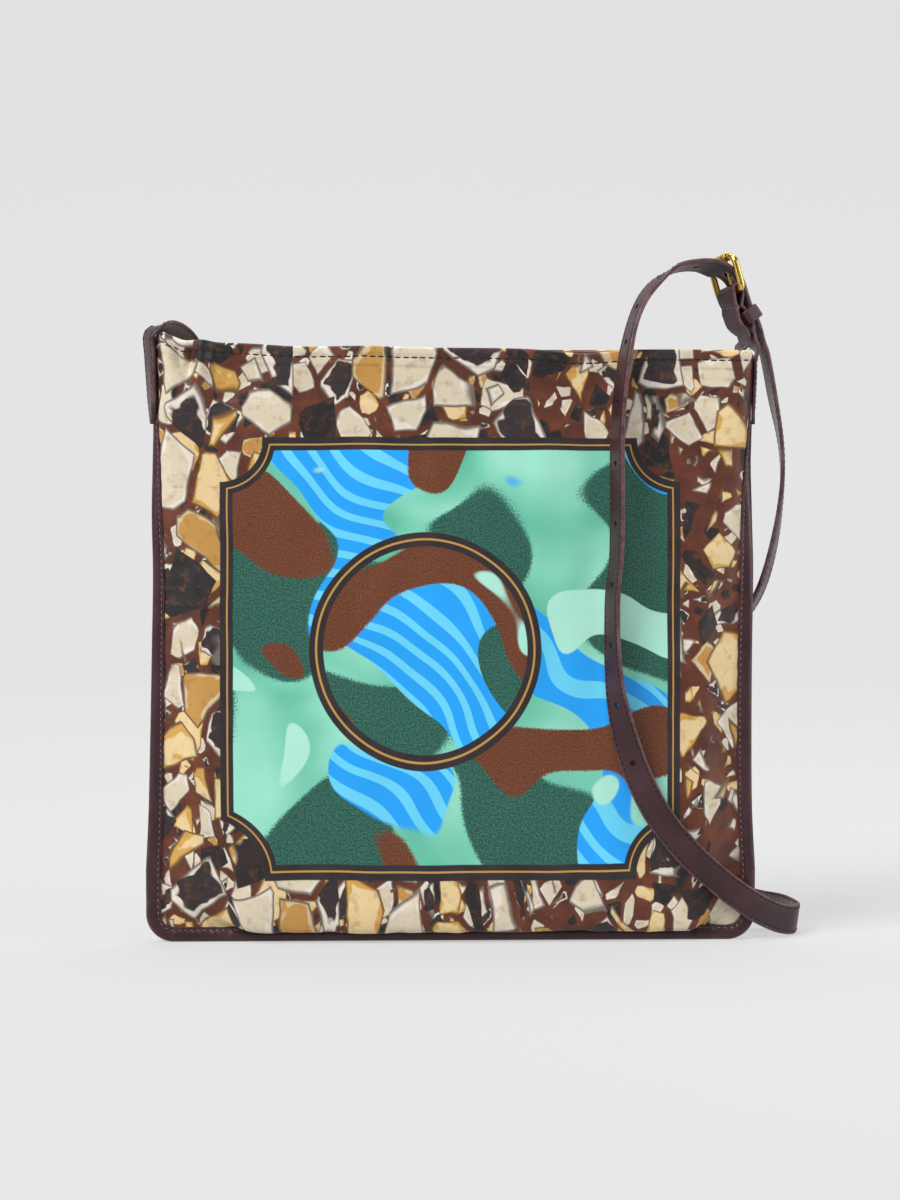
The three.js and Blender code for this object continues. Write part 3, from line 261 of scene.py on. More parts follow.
def sweep(rings, closed, ring_mats=None):
    """Quads over rings (n x k x 3); ends are capped unless the path is closed."""
    rings = np.asarray(rings)
    n, k = rings.shape[:2]
    faces, mats = [], []
    for r in range(n if closed else n - 1):
        a, b = r * k, ((r + 1) % n) * k
        for i in range(k):
            j = (i + 1) % k
            faces.append((a + i, a + j, b + j, b + i))
            mats.append(ring_mats[i] if ring_mats is not None else 0)
    if not closed:
        end = ring_mats[0] if ring_mats is not None else 0
        cap = ring_mats[-1] if ring_mats is not None else 0
        faces.append(tuple(reversed(range(k))))
        faces.append(tuple(range((n - 1) * k, n * k)))
        mats += [cap, cap]
    verts = rings.reshape(-1, 3)
    return verts, outward(verts, faces), mats


def piece(ob, slot, *nodes):
    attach(ob, "root")
    if nodes:
        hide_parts(*nodes)
    return ob


def along_line(points, pitch, start, end_gap):
    """Even places along a polyline: position as (index, share)."""
    seg = np.linalg.norm(np.diff(points, axis=0), axis=1)
    run = np.concatenate([[0], np.cumsum(seg)])
    s = np.arange(start, run[-1] - end_gap, pitch)
    i = np.clip(np.searchsorted(run, s, side="right") - 1, 0, len(seg) - 1)
    return i, (s - run[i]) / np.maximum(seg[i], 1e-9), s, run


def pick(values, i, t):
    return values[i] * (1 - t)[:, None] + values[i + 1] * t[:, None]


def stitches(name, mat, centres, tangents, normals, length, width, height, lean=0.0):
    """Thread stitches: short arched grains whose ends dive into the material."""
    shares = np.array([-1.0, -0.86, -0.45, 0.0, 0.45, 0.86, 1.0])
    radius = np.array([0.0, 0.62, 0.95, 1.0, 0.95, 0.62, 0.0])
    sides = 6
    t = unit(tangents)
    n = unit(normals - t * np.sum(normals * t, axis=1, keepdims=True))
    b = np.cross(n, t)
    if lean:
        c, s = math.cos(math.radians(lean)), math.sin(math.radians(lean))
        t, b = t * c + b * s, b * c - t * s
    local = [(-length / 2, 0, -0.8 * height)]
    for x, r in zip(shares[1:-1], radius[1:-1]):
        for q in range(sides):
            ang = 2 * math.pi * q / sides
            local.append((x * length / 2, r * width / 2 * math.cos(ang),
                          r * height / 2 * math.sin(ang) - 0.7 * height * x * x * x * x))
    local.append((length / 2, 0, -0.8 * height))
    local = np.array(local)
    rings = len(shares) - 2
    cell = []
    for q in range(sides):
        cell.append((0, 1 + (q + 1) % sides, 1 + q))
        last = 1 + (rings - 1) * sides
        cell.append((len(local) - 1, last + q, last + (q + 1) % sides))
        for r in range(rings - 1):
            a, d = 1 + r * sides, 1 + (r + 1) * sides
            cell.append((a + q, a + (q + 1) % sides, d + (q + 1) % sides, d + q))
    verts = (centres[:, None, :] + local[None, :, 0:1] * t[:, None, :]
             + local[None, :, 1:2] * b[:, None, :] + local[None, :, 2:3] * n[:, None, :])
    faces = []
    for k in range(len(centres)):
        o = k * len(local)
        faces += [tuple(o + i for i in f) for f in cell]
    return make(name, verts.reshape(-1, 3), faces, [mat])


# ------------------------------------------------------------------ materials


def lin(hexcode):
    """Linear colour of an sRGB hex code."""
    out = []
    for i in (1, 3, 5):
        c = int(hexcode[i:i + 2], 16) / 255
        out.append(c / 12.92 if c <= 0.04045 else ((c + 0.055) / 1.055) ** 2.4)
    return (*out, 1.0)


class Graph:
    """Short names for building a node material."""

    def __init__(self, name):
        self.mat = bpy.data.materials.new(name)
        self.mat.use_nodes = True
        self.nt = self.mat.node_tree
        self.bsdf = next(n for n in self.nt.nodes if n.type == "BSDF_PRINCIPLED")

    def node(self, kind, ins=None, **props):
        n = self.nt.nodes.new(kind)
        for k, v in props.items():
            setattr(n, k, v)
        for k, v in (ins or {}).items():
            self.put(n.inputs[k], v)
        return n

    def put(self, socket, value):
        if isinstance(value, bpy.types.NodeSocket):
            self.nt.links.new(value, socket)
        else:
            socket.default_value = value

    def set(self, **values):
        for k, v in values.items():
            self.put(self.bsdf.inputs[k.replace("_", " ")], v)

    def math(self, op, a, b=0.0, c=0.0, clamp=False):
        return self.node("ShaderNodeMath", {0: a, 1: b, 2: c}, operation=op, use_clamp=clamp).outputs[0]

    def vmath(self, op, a, b=(0, 0, 0)):
        return self.node("ShaderNodeVectorMath", {0: a, 1: b}, operation=op).outputs[0]

    def scale(self, v, s):
        n = self.node("ShaderNodeVectorMath", {0: v}, operation="SCALE")
        self.put(n.inputs["Scale"], s)
        return n.outputs[0]

    def mix(self, fac, a, b, blend="MIX"):
        n = self.node("ShaderNodeMix", data_type="RGBA", blend_type=blend)
        self.put(n.inputs[0], fac)
        self.put(n.inputs[6], a)
        self.put(n.inputs[7], b)
        return n.outputs[2]

    def attr(self, name):
        return self.node("ShaderNodeAttribute", attribute_name=name)

    def coords(self):
        return self.node("ShaderNodeTexCoord").outputs["Object"]

    def noise(self, vec, scale, detail=3.0, rough=0.5, distortion=0.0):
        return self.node("ShaderNodeTexNoise", {"Vector": vec, "Scale": scale, "Detail": detail,
                                                "Roughness": rough, "Distortion": distortion})

    def voronoi(self, vec, scale, feature="F1", random=1.0, smooth=None):
        n = self.node("ShaderNodeTexVoronoi", feature=feature)
        self.put(n.inputs["Vector"], vec)
        self.put(n.inputs["Scale"], scale)
        self.put(n.inputs["Randomness"], random)
        return n

    def ramp(self, fac, stops, interp="LINEAR"):
        n = self.node("ShaderNodeValToRGB", {"Fac": fac})
        r = n.color_ramp
        r.interpolation = interp
        while len(r.elements) < len(stops):
            r.elements.new(0.5)
        for e, (p, c) in zip(r.elements, stops):
            e.position = p
            e.color = c if len(c) == 4 else (*c, 1)
        return n.outputs["Color"]

    def grey(self, fac, lo, hi, a=0.0, b=1.0):
        n = self.node("ShaderNodeMapRange", {"Value": fac, "From Min": lo, "From Max": hi,
                                             "To Min": a, "To Max": b}, clamp=True)
        n.interpolation_type = "SMOOTHSTEP"
        return n.outputs["Result"]

    def bump(self, height, strength, distance, normal=None):
        n = self.node("ShaderNodeBump", {"Height": height, "Strength": strength, "Distance": distance})
        if normal is not None:
            self.put(n.inputs["Normal"], normal)
        return n.outputs["Normal"]


def leather(name, dark, mid, light, wear, rough=(0.34, 0.5), grain=1.0):
    """Smooth bridle leather: fine pores, soft mottling, paler where edges rub."""
    g = Graph(name)
    p = g.coords()
    broad = g.noise(p, 38.0, 4.0, 0.55).outputs["Fac"]
    fine = g.noise(p, 420.0, 4.0, 0.6).outputs["Fac"]
    base = g.ramp(broad, [(0.3, dark), (0.52, mid), (0.74, light)])
    base = g.mix(g.grey(fine, 0.35, 0.75, 0.0, 0.35), base, dark)
    rub = g.math("MULTIPLY", g.attr("wear").outputs["Fac"], g.grey(g.noise(p, 160.0, 5.0, 0.65).outputs["Fac"], 0.34, 0.66))
    base = g.mix(rub, base, wear)
    g.set(Base_Color=base)
    g.set(Roughness=g.grey(g.noise(p, 95.0, 4.0, 0.6).outputs["Fac"], 0.3, 0.7, rough[0], rough[1]))
    g.set(IOR=1.5, Specular_IOR_Level=0.36, Coat_Weight=0.05, Coat_Roughness=0.25)
    pores = g.voronoi(g.vmath("ADD", p, g.scale(g.noise(p, 900.0, 2.0).outputs["Color"], 0.0006)), 1500.0).outputs["Distance"]
    n1 = g.bump(pores, 0.10 * grain, 0.0004)
    n2 = g.bump(g.noise(p, 260.0, 5.0, 0.6).outputs["Fac"], 0.08 * grain, 0.0009, n1)
    g.set(Normal=n2)
    return g.mat


def hide_back(name):
    """Flesh side of the leather: pale grey brown, matt and fibrous, with painted shade where the strap arches."""
    g = Graph(name)
    p = g.coords()
    fibres = g.noise(p, 700.0, 5.0, 0.7, 0.6).outputs["Fac"]
    patch = g.noise(p, 60.0, 4.0, 0.6).outputs["Fac"]
    base = g.ramp(patch, [(0.3, lin("#857c79")), (0.55, lin("#958c89")), (0.8, lin("#a19895"))])
    base = g.mix(g.grey(fibres, 0.35, 0.7, 0.0, 0.45), base, lin("#6e6461"))
    # Painted shade: darker where the strap arches, with a little patchy variation.
    old = g.math("ADD", g.attr("painted_shade").outputs["Fac"], g.grey(patch, 0.3, 0.7, -0.12, 0.12))
    base = g.mix(g.grey(old, 0.0, 1.0), base, lin("#38292a"))
    g.set(Base_Color=base, Roughness=0.82, Specular_IOR_Level=0.25, Sheen_Weight=0.15, Sheen_Roughness=0.6)
    g.set(Normal=g.bump(fibres, 0.3, 0.0005))
    return g.mat


def thread(name, a, b, rough=0.6):
    """Twisted sewing thread."""
    g = Graph(name)
    p = g.coords()
    ply = g.noise(p, 2600.0, 2.0, 0.5, 0.8).outputs["Fac"]
    g.set(Base_Color=g.ramp(ply, [(0.32, a), (0.68, b)]), Roughness=rough, Specular_IOR_Level=0.35)
    g.set(Normal=g.bump(ply, 0.4, 0.0002))
    return g.mat


def brass(name, dull=0.0):
    """Polished brass, faintly clouded."""
    g = Graph(name)
    p = g.coords()
    cloud = g.noise(p, 55.0, 3.0, 0.55).outputs["Fac"]
    stops = [(0.28, "#c39a46"), (0.5, "#d2ac58"), (0.75, "#deba6c")] if dull == 0 else [(0.3, "#2c2010"), (0.5, "#3a2b16"), (0.7, "#4a371c")]
    base = g.ramp(cloud, [(at, lin(tone)) for at, tone in stops])
    rough = g.grey(g.noise(p, 180.0, 3.0, 0.6).outputs["Fac"], 0.3, 0.75, 0.15 + dull, 0.22 + dull)
    g.set(Base_Color=base, Metallic=1.0, Roughness=rough)
    scratch = g.noise(g.vmath("MULTIPLY", p, (1.0, 1.0, 6.0)), 900.0, 3.0, 0.6).outputs["Fac"]
    g.set(Normal=g.bump(scratch, 0.006, 0.0002))
    return g.mat


def weave_normal(g, flat, strength=0.16):
    """Plain weave: two crossing sets of threads, with slubs."""
    slub = g.scale(g.vmath("SUBTRACT", g.noise(flat, 0.09, 3.0).outputs["Color"], (0.5, 0.5, 0.5)), 0.5)
    v = g.vmath("ADD", flat, slub)
    warp = g.node("ShaderNodeTexWave", {"Vector": v, "Scale": 0.47, "Distortion": 0.4, "Detail": 1.0},
                  wave_type="BANDS", bands_direction="X").outputs["Fac"]
    weft = g.node("ShaderNodeTexWave", {"Vector": v, "Scale": 0.43, "Distortion": 0.4, "Detail": 1.0},
                  wave_type="BANDS", bands_direction="Y").outputs["Fac"]
    threads = g.math("MAXIMUM", warp, weft)
    uneven = g.noise(flat, 0.35, 4.0, 0.6).outputs["Fac"]
    return g.bump(g.math("ADD", threads, g.math("MULTIPLY", uneven, 0.8)), strength, 0.0003), threads


def chips(g, flat, ground):
    """Terrazzo print: separate angular chips of three sizes on a brown ground."""
    cream, ochre, black, rust, sand = "#ddd2c5", "#c7984a", "#272023", "#8a4f26", "#cdb68c"
    first = [(0.0, cream), (0.32, ochre), (0.54, black), (0.72, cream), (0.90, sand)]
    second = [(0.0, "#cfc3aa"), (0.32, "#dcc290"), (0.54, "#191416"), (0.72, "#2b2325"), (0.90, "#b98a44")]
    out = ground
    # Size of a cell, share that holds a chip, least and further room to the next, shift, unevenness.
    for size, keep, least, more, shift, warp in ((8.5, 0.66, 0.06, 0.13, 31.0, 2.5), (16.5, 0.84, 0.045, 0.11, 7.0, 4.5),
                                                 (26.0, 0.64, 0.035, 0.09, 58.0, 6.0)):
        push = g.scale(g.vmath("SUBTRACT", g.noise(flat, 0.9 / size, 2.0).outputs["Color"], (0.5, 0.5, 0.5)), warp)
        v = g.vmath("MULTIPLY", g.vmath("ADD", g.vmath("ADD", flat, (shift, shift * 0.7, 0)), push), (1.0, 0.8, 1.0))
        cell = g.voronoi(v, 1 / size, "F1", 1.0)
        edge = g.voronoi(v, 1 / size, "DISTANCE_TO_EDGE", 1.0).outputs["Distance"]
        split = g.node("ShaderNodeSeparateColor", {"Color": cell.outputs["Color"]})
        room = g.math("SUBTRACT", edge, g.math("MULTIPLY_ADD", split.outputs[1], more, least))
        held = g.math("LESS_THAN", split.outputs[2], keep)
        vein = g.noise(g.vmath("ADD", flat, g.scale(cell.outputs["Color"], 90.0)), 1.5 / size, 1.5, 0.5, 0.6).outputs["Fac"]
        core = g.grey(g.math("MULTIPLY_ADD", vein, 0.5, room), 0.29, 0.325)
        tone = g.mix(core, g.ramp(split.outputs[0], [(a, lin(c)) for a, c in first], "CONSTANT"),
                     g.ramp(split.outputs[0], [(a, lin(c)) for a, c in second], "CONSTANT"))
        stain = g.noise(flat, 0.16, 4.0, 0.65).outputs["Fac"]
        tone = g.mix(g.grey(stain, 0.5, 0.72, 0.0, 0.4), tone, lin(rust))
        tone = g.mix(g.grey(room, 0.012, 0.05, 0.8, 0.0), tone, lin("#2a1a16"))
        out = g.mix(g.math("MULTIPLY", held, g.grey(room, -0.008, 0.008)), out, tone)
    return out


def patches(g, flat, shift=(0, 0, 0)):
    """Smooth camouflage-like patches in greens, blue and rust."""
    place = g.vmath("ADD", flat, shift)
    warp = g.scale(g.vmath("SUBTRACT", g.noise(place, 0.011, 1.0, 0.4).outputs["Color"], (0.5, 0.5, 0.5)), 70.0)
    v = g.vmath("ADD", place, warp)
    speck = g.noise(flat, 1.1, 2.0, 0.7).outputs["Fac"]
    dust = g.math("MULTIPLY", g.math("SUBTRACT", speck, 0.5), 0.06)

    def blob(move, scale, level, soft, rough=0.0):
        n = g.noise(g.vmath("ADD", v, move), scale, 0.0, 0.4).outputs["Fac"]
        if rough:
            n = g.math("MULTIPLY_ADD", dust, rough, n)
        return g.grey(n, level - soft, level + soft)

    glow = g.noise(v, 0.02, 1.0).outputs["Fac"]
    mint = g.ramp(glow, [(0.34, lin("#5db79c")), (0.5, lin("#76c8ae")), (0.68, lin("#97dcc6"))])
    pine = g.mix(g.grey(speck, 0.40, 0.62), lin("#163f36"), lin("#2f7060"))
    streak = g.node("ShaderNodeTexWave", {"Vector": v, "Scale": 0.035, "Distortion": 5.0, "Detail": 1.0, "Detail Scale": 0.02},
                    wave_type="BANDS", bands_direction="DIAGONAL").outputs["Fac"]
    sky = g.mix(g.grey(streak, 0.62, 0.72), lin("#119df0"), lin("#63cdf0"))
    rust = g.mix(g.grey(speck, 0.38, 0.66), lin("#552a17"), lin("#7b4322"))
    out = g.mix(blob((0, 0, 0), 0.0125, 0.50, 0.008, 1.0), mint, pine)
    out = g.mix(blob((310, 40, 0), 0.0135, 0.575, 0.004), out, sky)
    out = g.mix(blob((-90, 520, 0), 0.0150, 0.600, 0.006, 0.6), out, rust)
    out = g.mix(blob((700, 260, 0), 0.0170, 0.655, 0.004), out, lin("#a9e3d0"))
    return out


def printed_cloth(name, with_field):
    g = Graph(name)
    flat = g.attr("flat").outputs["Vector"]
    grain = g.noise(flat, 0.06, 4.0, 0.6).outputs["Fac"]
    ground = g.ramp(grain, [(0.3, lin("#451d11")), (0.5, lin("#5a2a18")), (0.7, lin("#6f381e"))])
    colour = chips(g, flat, ground)
    if with_field:
        # Field with hollowed corners, in a dark band with a thin line.
        xyz = g.node("ShaderNodeSeparateXYZ", {"Vector": flat})
        wave = g.math("MULTIPLY", g.math("SUBTRACT", g.noise(flat, 0.012, 2.0).outputs["Fac"], 0.5), 3.0)
        u = g.math("ABSOLUTE", xyz.outputs[0])
        w = g.math("ABSOLUTE", g.math("SUBTRACT", xyz.outputs[1], 165.0))
        du, dw = g.math("SUBTRACT", u, 127.0), g.math("SUBTRACT", w, 116.0)
        box = g.math("MAXIMUM", du, dw)
        far = g.math("SQRT", g.math("ADD", g.math("MULTIPLY", du, du), g.math("MULTIPLY", dw, dw)))
        d = g.math("ADD", g.math("MAXIMUM", box, g.math("SUBTRACT", 24.0, far)), wave)
        band = g.mix(g.grey(grain, 0.3, 0.7), lin("#1f191c"), lin("#2c2428"))
        line = g.math("MULTIPLY", g.grey(d, -4.6, -4.3), g.grey(d, -3.7, -3.4, 1.0, 0.0))
        band = g.mix(line, band, lin("#b98b45"))
        colour = g.mix(g.grey(d, 0.3, -0.3), colour, band)
        field = patches(g, flat)
        # Roundel in the middle, in a ring of the same band.
        off = g.vmath("SUBTRACT", flat, (-14.0, 165.0, 0.0))
        far = g.math("ADD", g.node("ShaderNodeVectorMath", {0: off}, operation="LENGTH").outputs["Value"], wave)
        field = g.mix(g.grey(far, 57.3, 56.7), field, patches(g, flat, (260, -420, 0)))
        ring = g.math("ABSOLUTE", g.math("SUBTRACT", far, 60.0))
        hoop = g.mix(g.grey(ring, 0.75, 0.45), band, lin("#b98b45"))
        field = g.mix(g.grey(ring, 4.2, 3.6), field, hoop)
        colour = g.mix(g.grey(d, -6.9, -7.5), colour, field)
    normal, threads = weave_normal(g, flat)
    # Painted shade: the colour darkens a little in the gaps between threads.
    colour = g.mix(g.grey(threads, 0.2, 0.9, 0.10, 0.0), colour, lin("#150f10"))
    g.set(Base_Color=colour, Specular_IOR_Level=0.4, Sheen_Weight=0.08, Sheen_Roughness=0.4, Normal=normal)
    g.set(Roughness=g.grey(g.noise(flat, 0.25, 3.0).outputs["Fac"], 0.3, 0.7, 0.42, 0.56))
    return g.mat


def lining(name):
    g = Graph(name)
    flat = g.attr("flat").outputs["Vector"]
    tone = g.noise(flat, 0.05, 4.0, 0.6).outputs["Fac"]
    normal, threads = weave_normal(g, flat, 0.25)
    base = g.ramp(tone, [(0.3, lin("#3a2a26")), (0.7, lin("#4a3832"))])
    # Painted shade: darker in the gaps between threads.
    g.set(Base_Color=g.mix(g.grey(threads, 0.2, 0.9, 0.25, 0.0), base, lin("#1c1413")), Roughness=0.85,
          Specular_IOR_Level=0.2, Normal=normal)
    return g.mat


BURGUNDY = (lin("#2a1318"), lin("#381d22"), lin("#47282d"))
mat_bind = leather("binding_leather", *BURGUNDY, lin("#5e3d42"), (0.32, 0.46))
mat_strap = leather("strap_leather", *BURGUNDY, lin("#5e3d42"), (0.34, 0.46), 0.7)
mat_chape = leather("chape_leather", lin("#26131a"), lin("#331c22"), lin("#41272d"), lin("#57393e"), (0.36, 0.5))
mat_edge = leather("strap_edge_paint", lin("#351b21"), lin("#46282e"), lin("#56363c"), lin("#6d4f53"), (0.3, 0.42), 0.4)
# Hole rims and hole walls are coloured dark: painted shade of the punched holes and the chape's slot.
mat_rim_painted_shade = leather("strap_hole_rim", lin("#1d1013"), lin("#26161a"), lin("#2f1d21"), lin("#4a3337"), (0.4, 0.5), 0.4)
mat_back = hide_back("strap_flesh_side")
mat_hole_painted_shade = leather("strap_hole_wall", lin("#1a0e11"), lin("#221317"), lin("#2b191d"), lin("#33201f"), (0.6, 0.75), 0.6)
mat_thread_dark = thread("strap_thread", lin("#0c0607"), lin("#1b1113"))
# Chape thread coloured pale: painted glints standing in for the highlights on dark stitches.
mat_thread_painted_glint = thread("chape_thread_painted_glint", lin("#5a4447"), lin("#927b7c"))
mat_thread_in = thread("strap_thread_inside", lin("#4b413f"), lin("#6b615e"))
mat_thread_pale = thread("binding_thread", lin("#6f5452"), lin("#a08480"))
mat_thread_hem = thread("hem_thread", lin("#0f0b0c"), lin("#221a1c"))
mat_brass = brass("buckle_brass")
mat_bore = brass("roller_bore", 0.25)
mat_print = printed_cloth("printed_cloth_front", True)
mat_print_back = printed_cloth("printed_cloth_back", False)
mat_lining = lining("cloth_inside")

# ------------------------------------------------------------------ side seams

_s = list(zip(*SIDES))
SEAM = {-1: (curve(_s[0], _s[1]), curve(_s[0], _s[2]), curve(_s[0], _s[3])),
        1: (curve(_s[0], _s[4]), curve(_s[0], _s[5]), curve(_s[0], _s[6]))}


def side_frame(side, z):
    """Seam point, outward direction and front normal; side is -1 or 1."""
    fx, fy, ft = SEAM[side]
    z = np.asarray(z, float)
    turn = np.radians(ft(z))
    zero = np.zeros_like(turn)
    return (np.stack([fx(z), fy(z), z], -1), np.stack([side * np.cos(turn), np.sin(turn), zero], -1),
            np.stack([side * np.sin(turn), -np.cos(turn), zero], -1))


# ------------------------------------------------------------------ cloth panels

TURN_RUN, TURN_X = 34.0, 23.5
_r = list(zip(*ROWS))
ROW_MID, ROW_OUT, ROW_END = curve(_r[0], _r[1]), curve(_r[0], _r[2]), curve(_r[0], _r[3])
TOPS = {1: curve(*zip(*TOP_FRONT)), -1: curve(*zip(*TOP_BACK))}


def crown(x):
    return 1 - 0.2 * np.minimum(np.abs(x) / 137, 1) ** 2.6


def round_corner(a, b):
    da, db = CORNER_R - a, CORNER_R - b
    inside = (da > 0) & (db > 0)
    m = np.maximum(da, db)
    sa, sb = np.where(inside, da, 1.0), np.where(inside, db, 1.0)
    turn = np.where(sa >= sb, (sb / sa) * np.pi / 4, np.pi / 2 - (sa / sb) * np.pi / 4)
    return (np.where(inside, CORNER_R - m * np.cos(turn), a), np.where(inside, CORNER_R - m * np.sin(turn), b))


def cloth_grid(face, runs, side, crun, across):
    """Middle of the cloth wall, rows x columns x 3."""
    r = runs[:, None] + 0 * crun[None, :]
    crun, across = crun[None, :] + 0 * r, across[None, :] + 0 * r
    row_mid, out_mid, out_end = ROW_MID(r), ROW_OUT(r), ROW_END(r)
    flat_z = np.maximum(r, CORNER_R)
    seam = {s: side_frame(s, flat_z)[0][..., 0] for s in (-1, 1)}
    x_l, x_r = seam[-1] + TURN_X, seam[1] - TURN_X
    sd = side[None, :] + 0 * r
    near = np.where(sd < 0, x_l, np.where(sd > 0, x_r, mix(x_l, x_r, across)))
    sag = step(near, -146, -104) * (1 - step(near, 132, 154))
    wave = step(r, WAVE_FROM, TOP_Z)

    def lift(x):
        return (TOPS[face](x) - TOP_Z) * wave

    out = np.where(r <= BIND_W + 0.6, CLOTH_APART,
                   CLOTH_APART + (mix(out_end, out_mid, sag) - CLOTH_APART) * crown(near))
    drop = mix(r, row_mid, sag)
    grid = np.stack([near, -face * out, drop + lift(near)], -1)
    a, b = round_corner(crun, r)
    for s in (-1, 1):
        seam_x = seam[s]
        f_seam, f_out, f_front = side_frame(s, np.maximum(b, CORNER_R) + lift(seam_x))
        p_in = f_seam + f_out * (BIND_W - a)[..., None] + f_front * (face * CLOTH_APART)
        p_in[..., 2] = b + lift(seam_x) * mix(0.45, 1.0, np.clip(crun / (BIND_W + 0.6), 0, 1))
        start = f_seam - f_out * 0.6 + f_front * (face * CLOTH_APART)
        t = np.clip((crun - BIND_W - 0.6) / (TURN_RUN - BIND_W - 0.6), 0, 1)
        pull = mix(26.0, 30.0 if face > 0 else 15.0, f_out[..., 1])
        x = hermite(start[..., 0], -f_out[..., 0] * pull, near, -s * 0.9 * TURN_X, t) - s * (a - crun)
        y = hermite(start[..., 1], -f_out[..., 1] * pull, -face * out, 0.0, t)
        z = b + mix(lift(seam_x), lift(x), step(t, 0, 0.3)) + (drop - r) * t * t
        turned = np.where((crun <= BIND_W + 0.6)[..., None], p_in, np.stack([x, y, z], -1))
        grid = np.where((sd == s)[..., None], turned, grid)
    return grid, near


def fold_depth(folds, x, z):
    depth = np.zeros_like(x)
    for fx, fz, la, lw, lean, d in folds:
        c, s = math.cos(math.radians(lean)), math.sin(math.radians(lean))
        dx, dz = x - fx, z - fz
        depth += d * np.exp(-((dz * c + dx * s) / la) ** 2 - ((dx * c - dz * s) / lw) ** 2)
    return depth


def ripples(seed, count, short, long, u, v):
    """Sum of smooth random waves, about one high."""
    r = np.random.default_rng(seed)
    total = np.zeros_like(u)
    for _ in range(count):
        length, turn, phase = r.uniform(short, long), r.uniform(0, math.pi), r.uniform(0, 2 * math.pi)
        k = 2 * math.pi / length
        total += np.sin(k * (u * math.cos(turn) + v * math.sin(turn)) + phase)
    return total / math.sqrt(count / 2)


HEM_STITCH_DOWN, HEM_PITCH = 4.2, 4.6


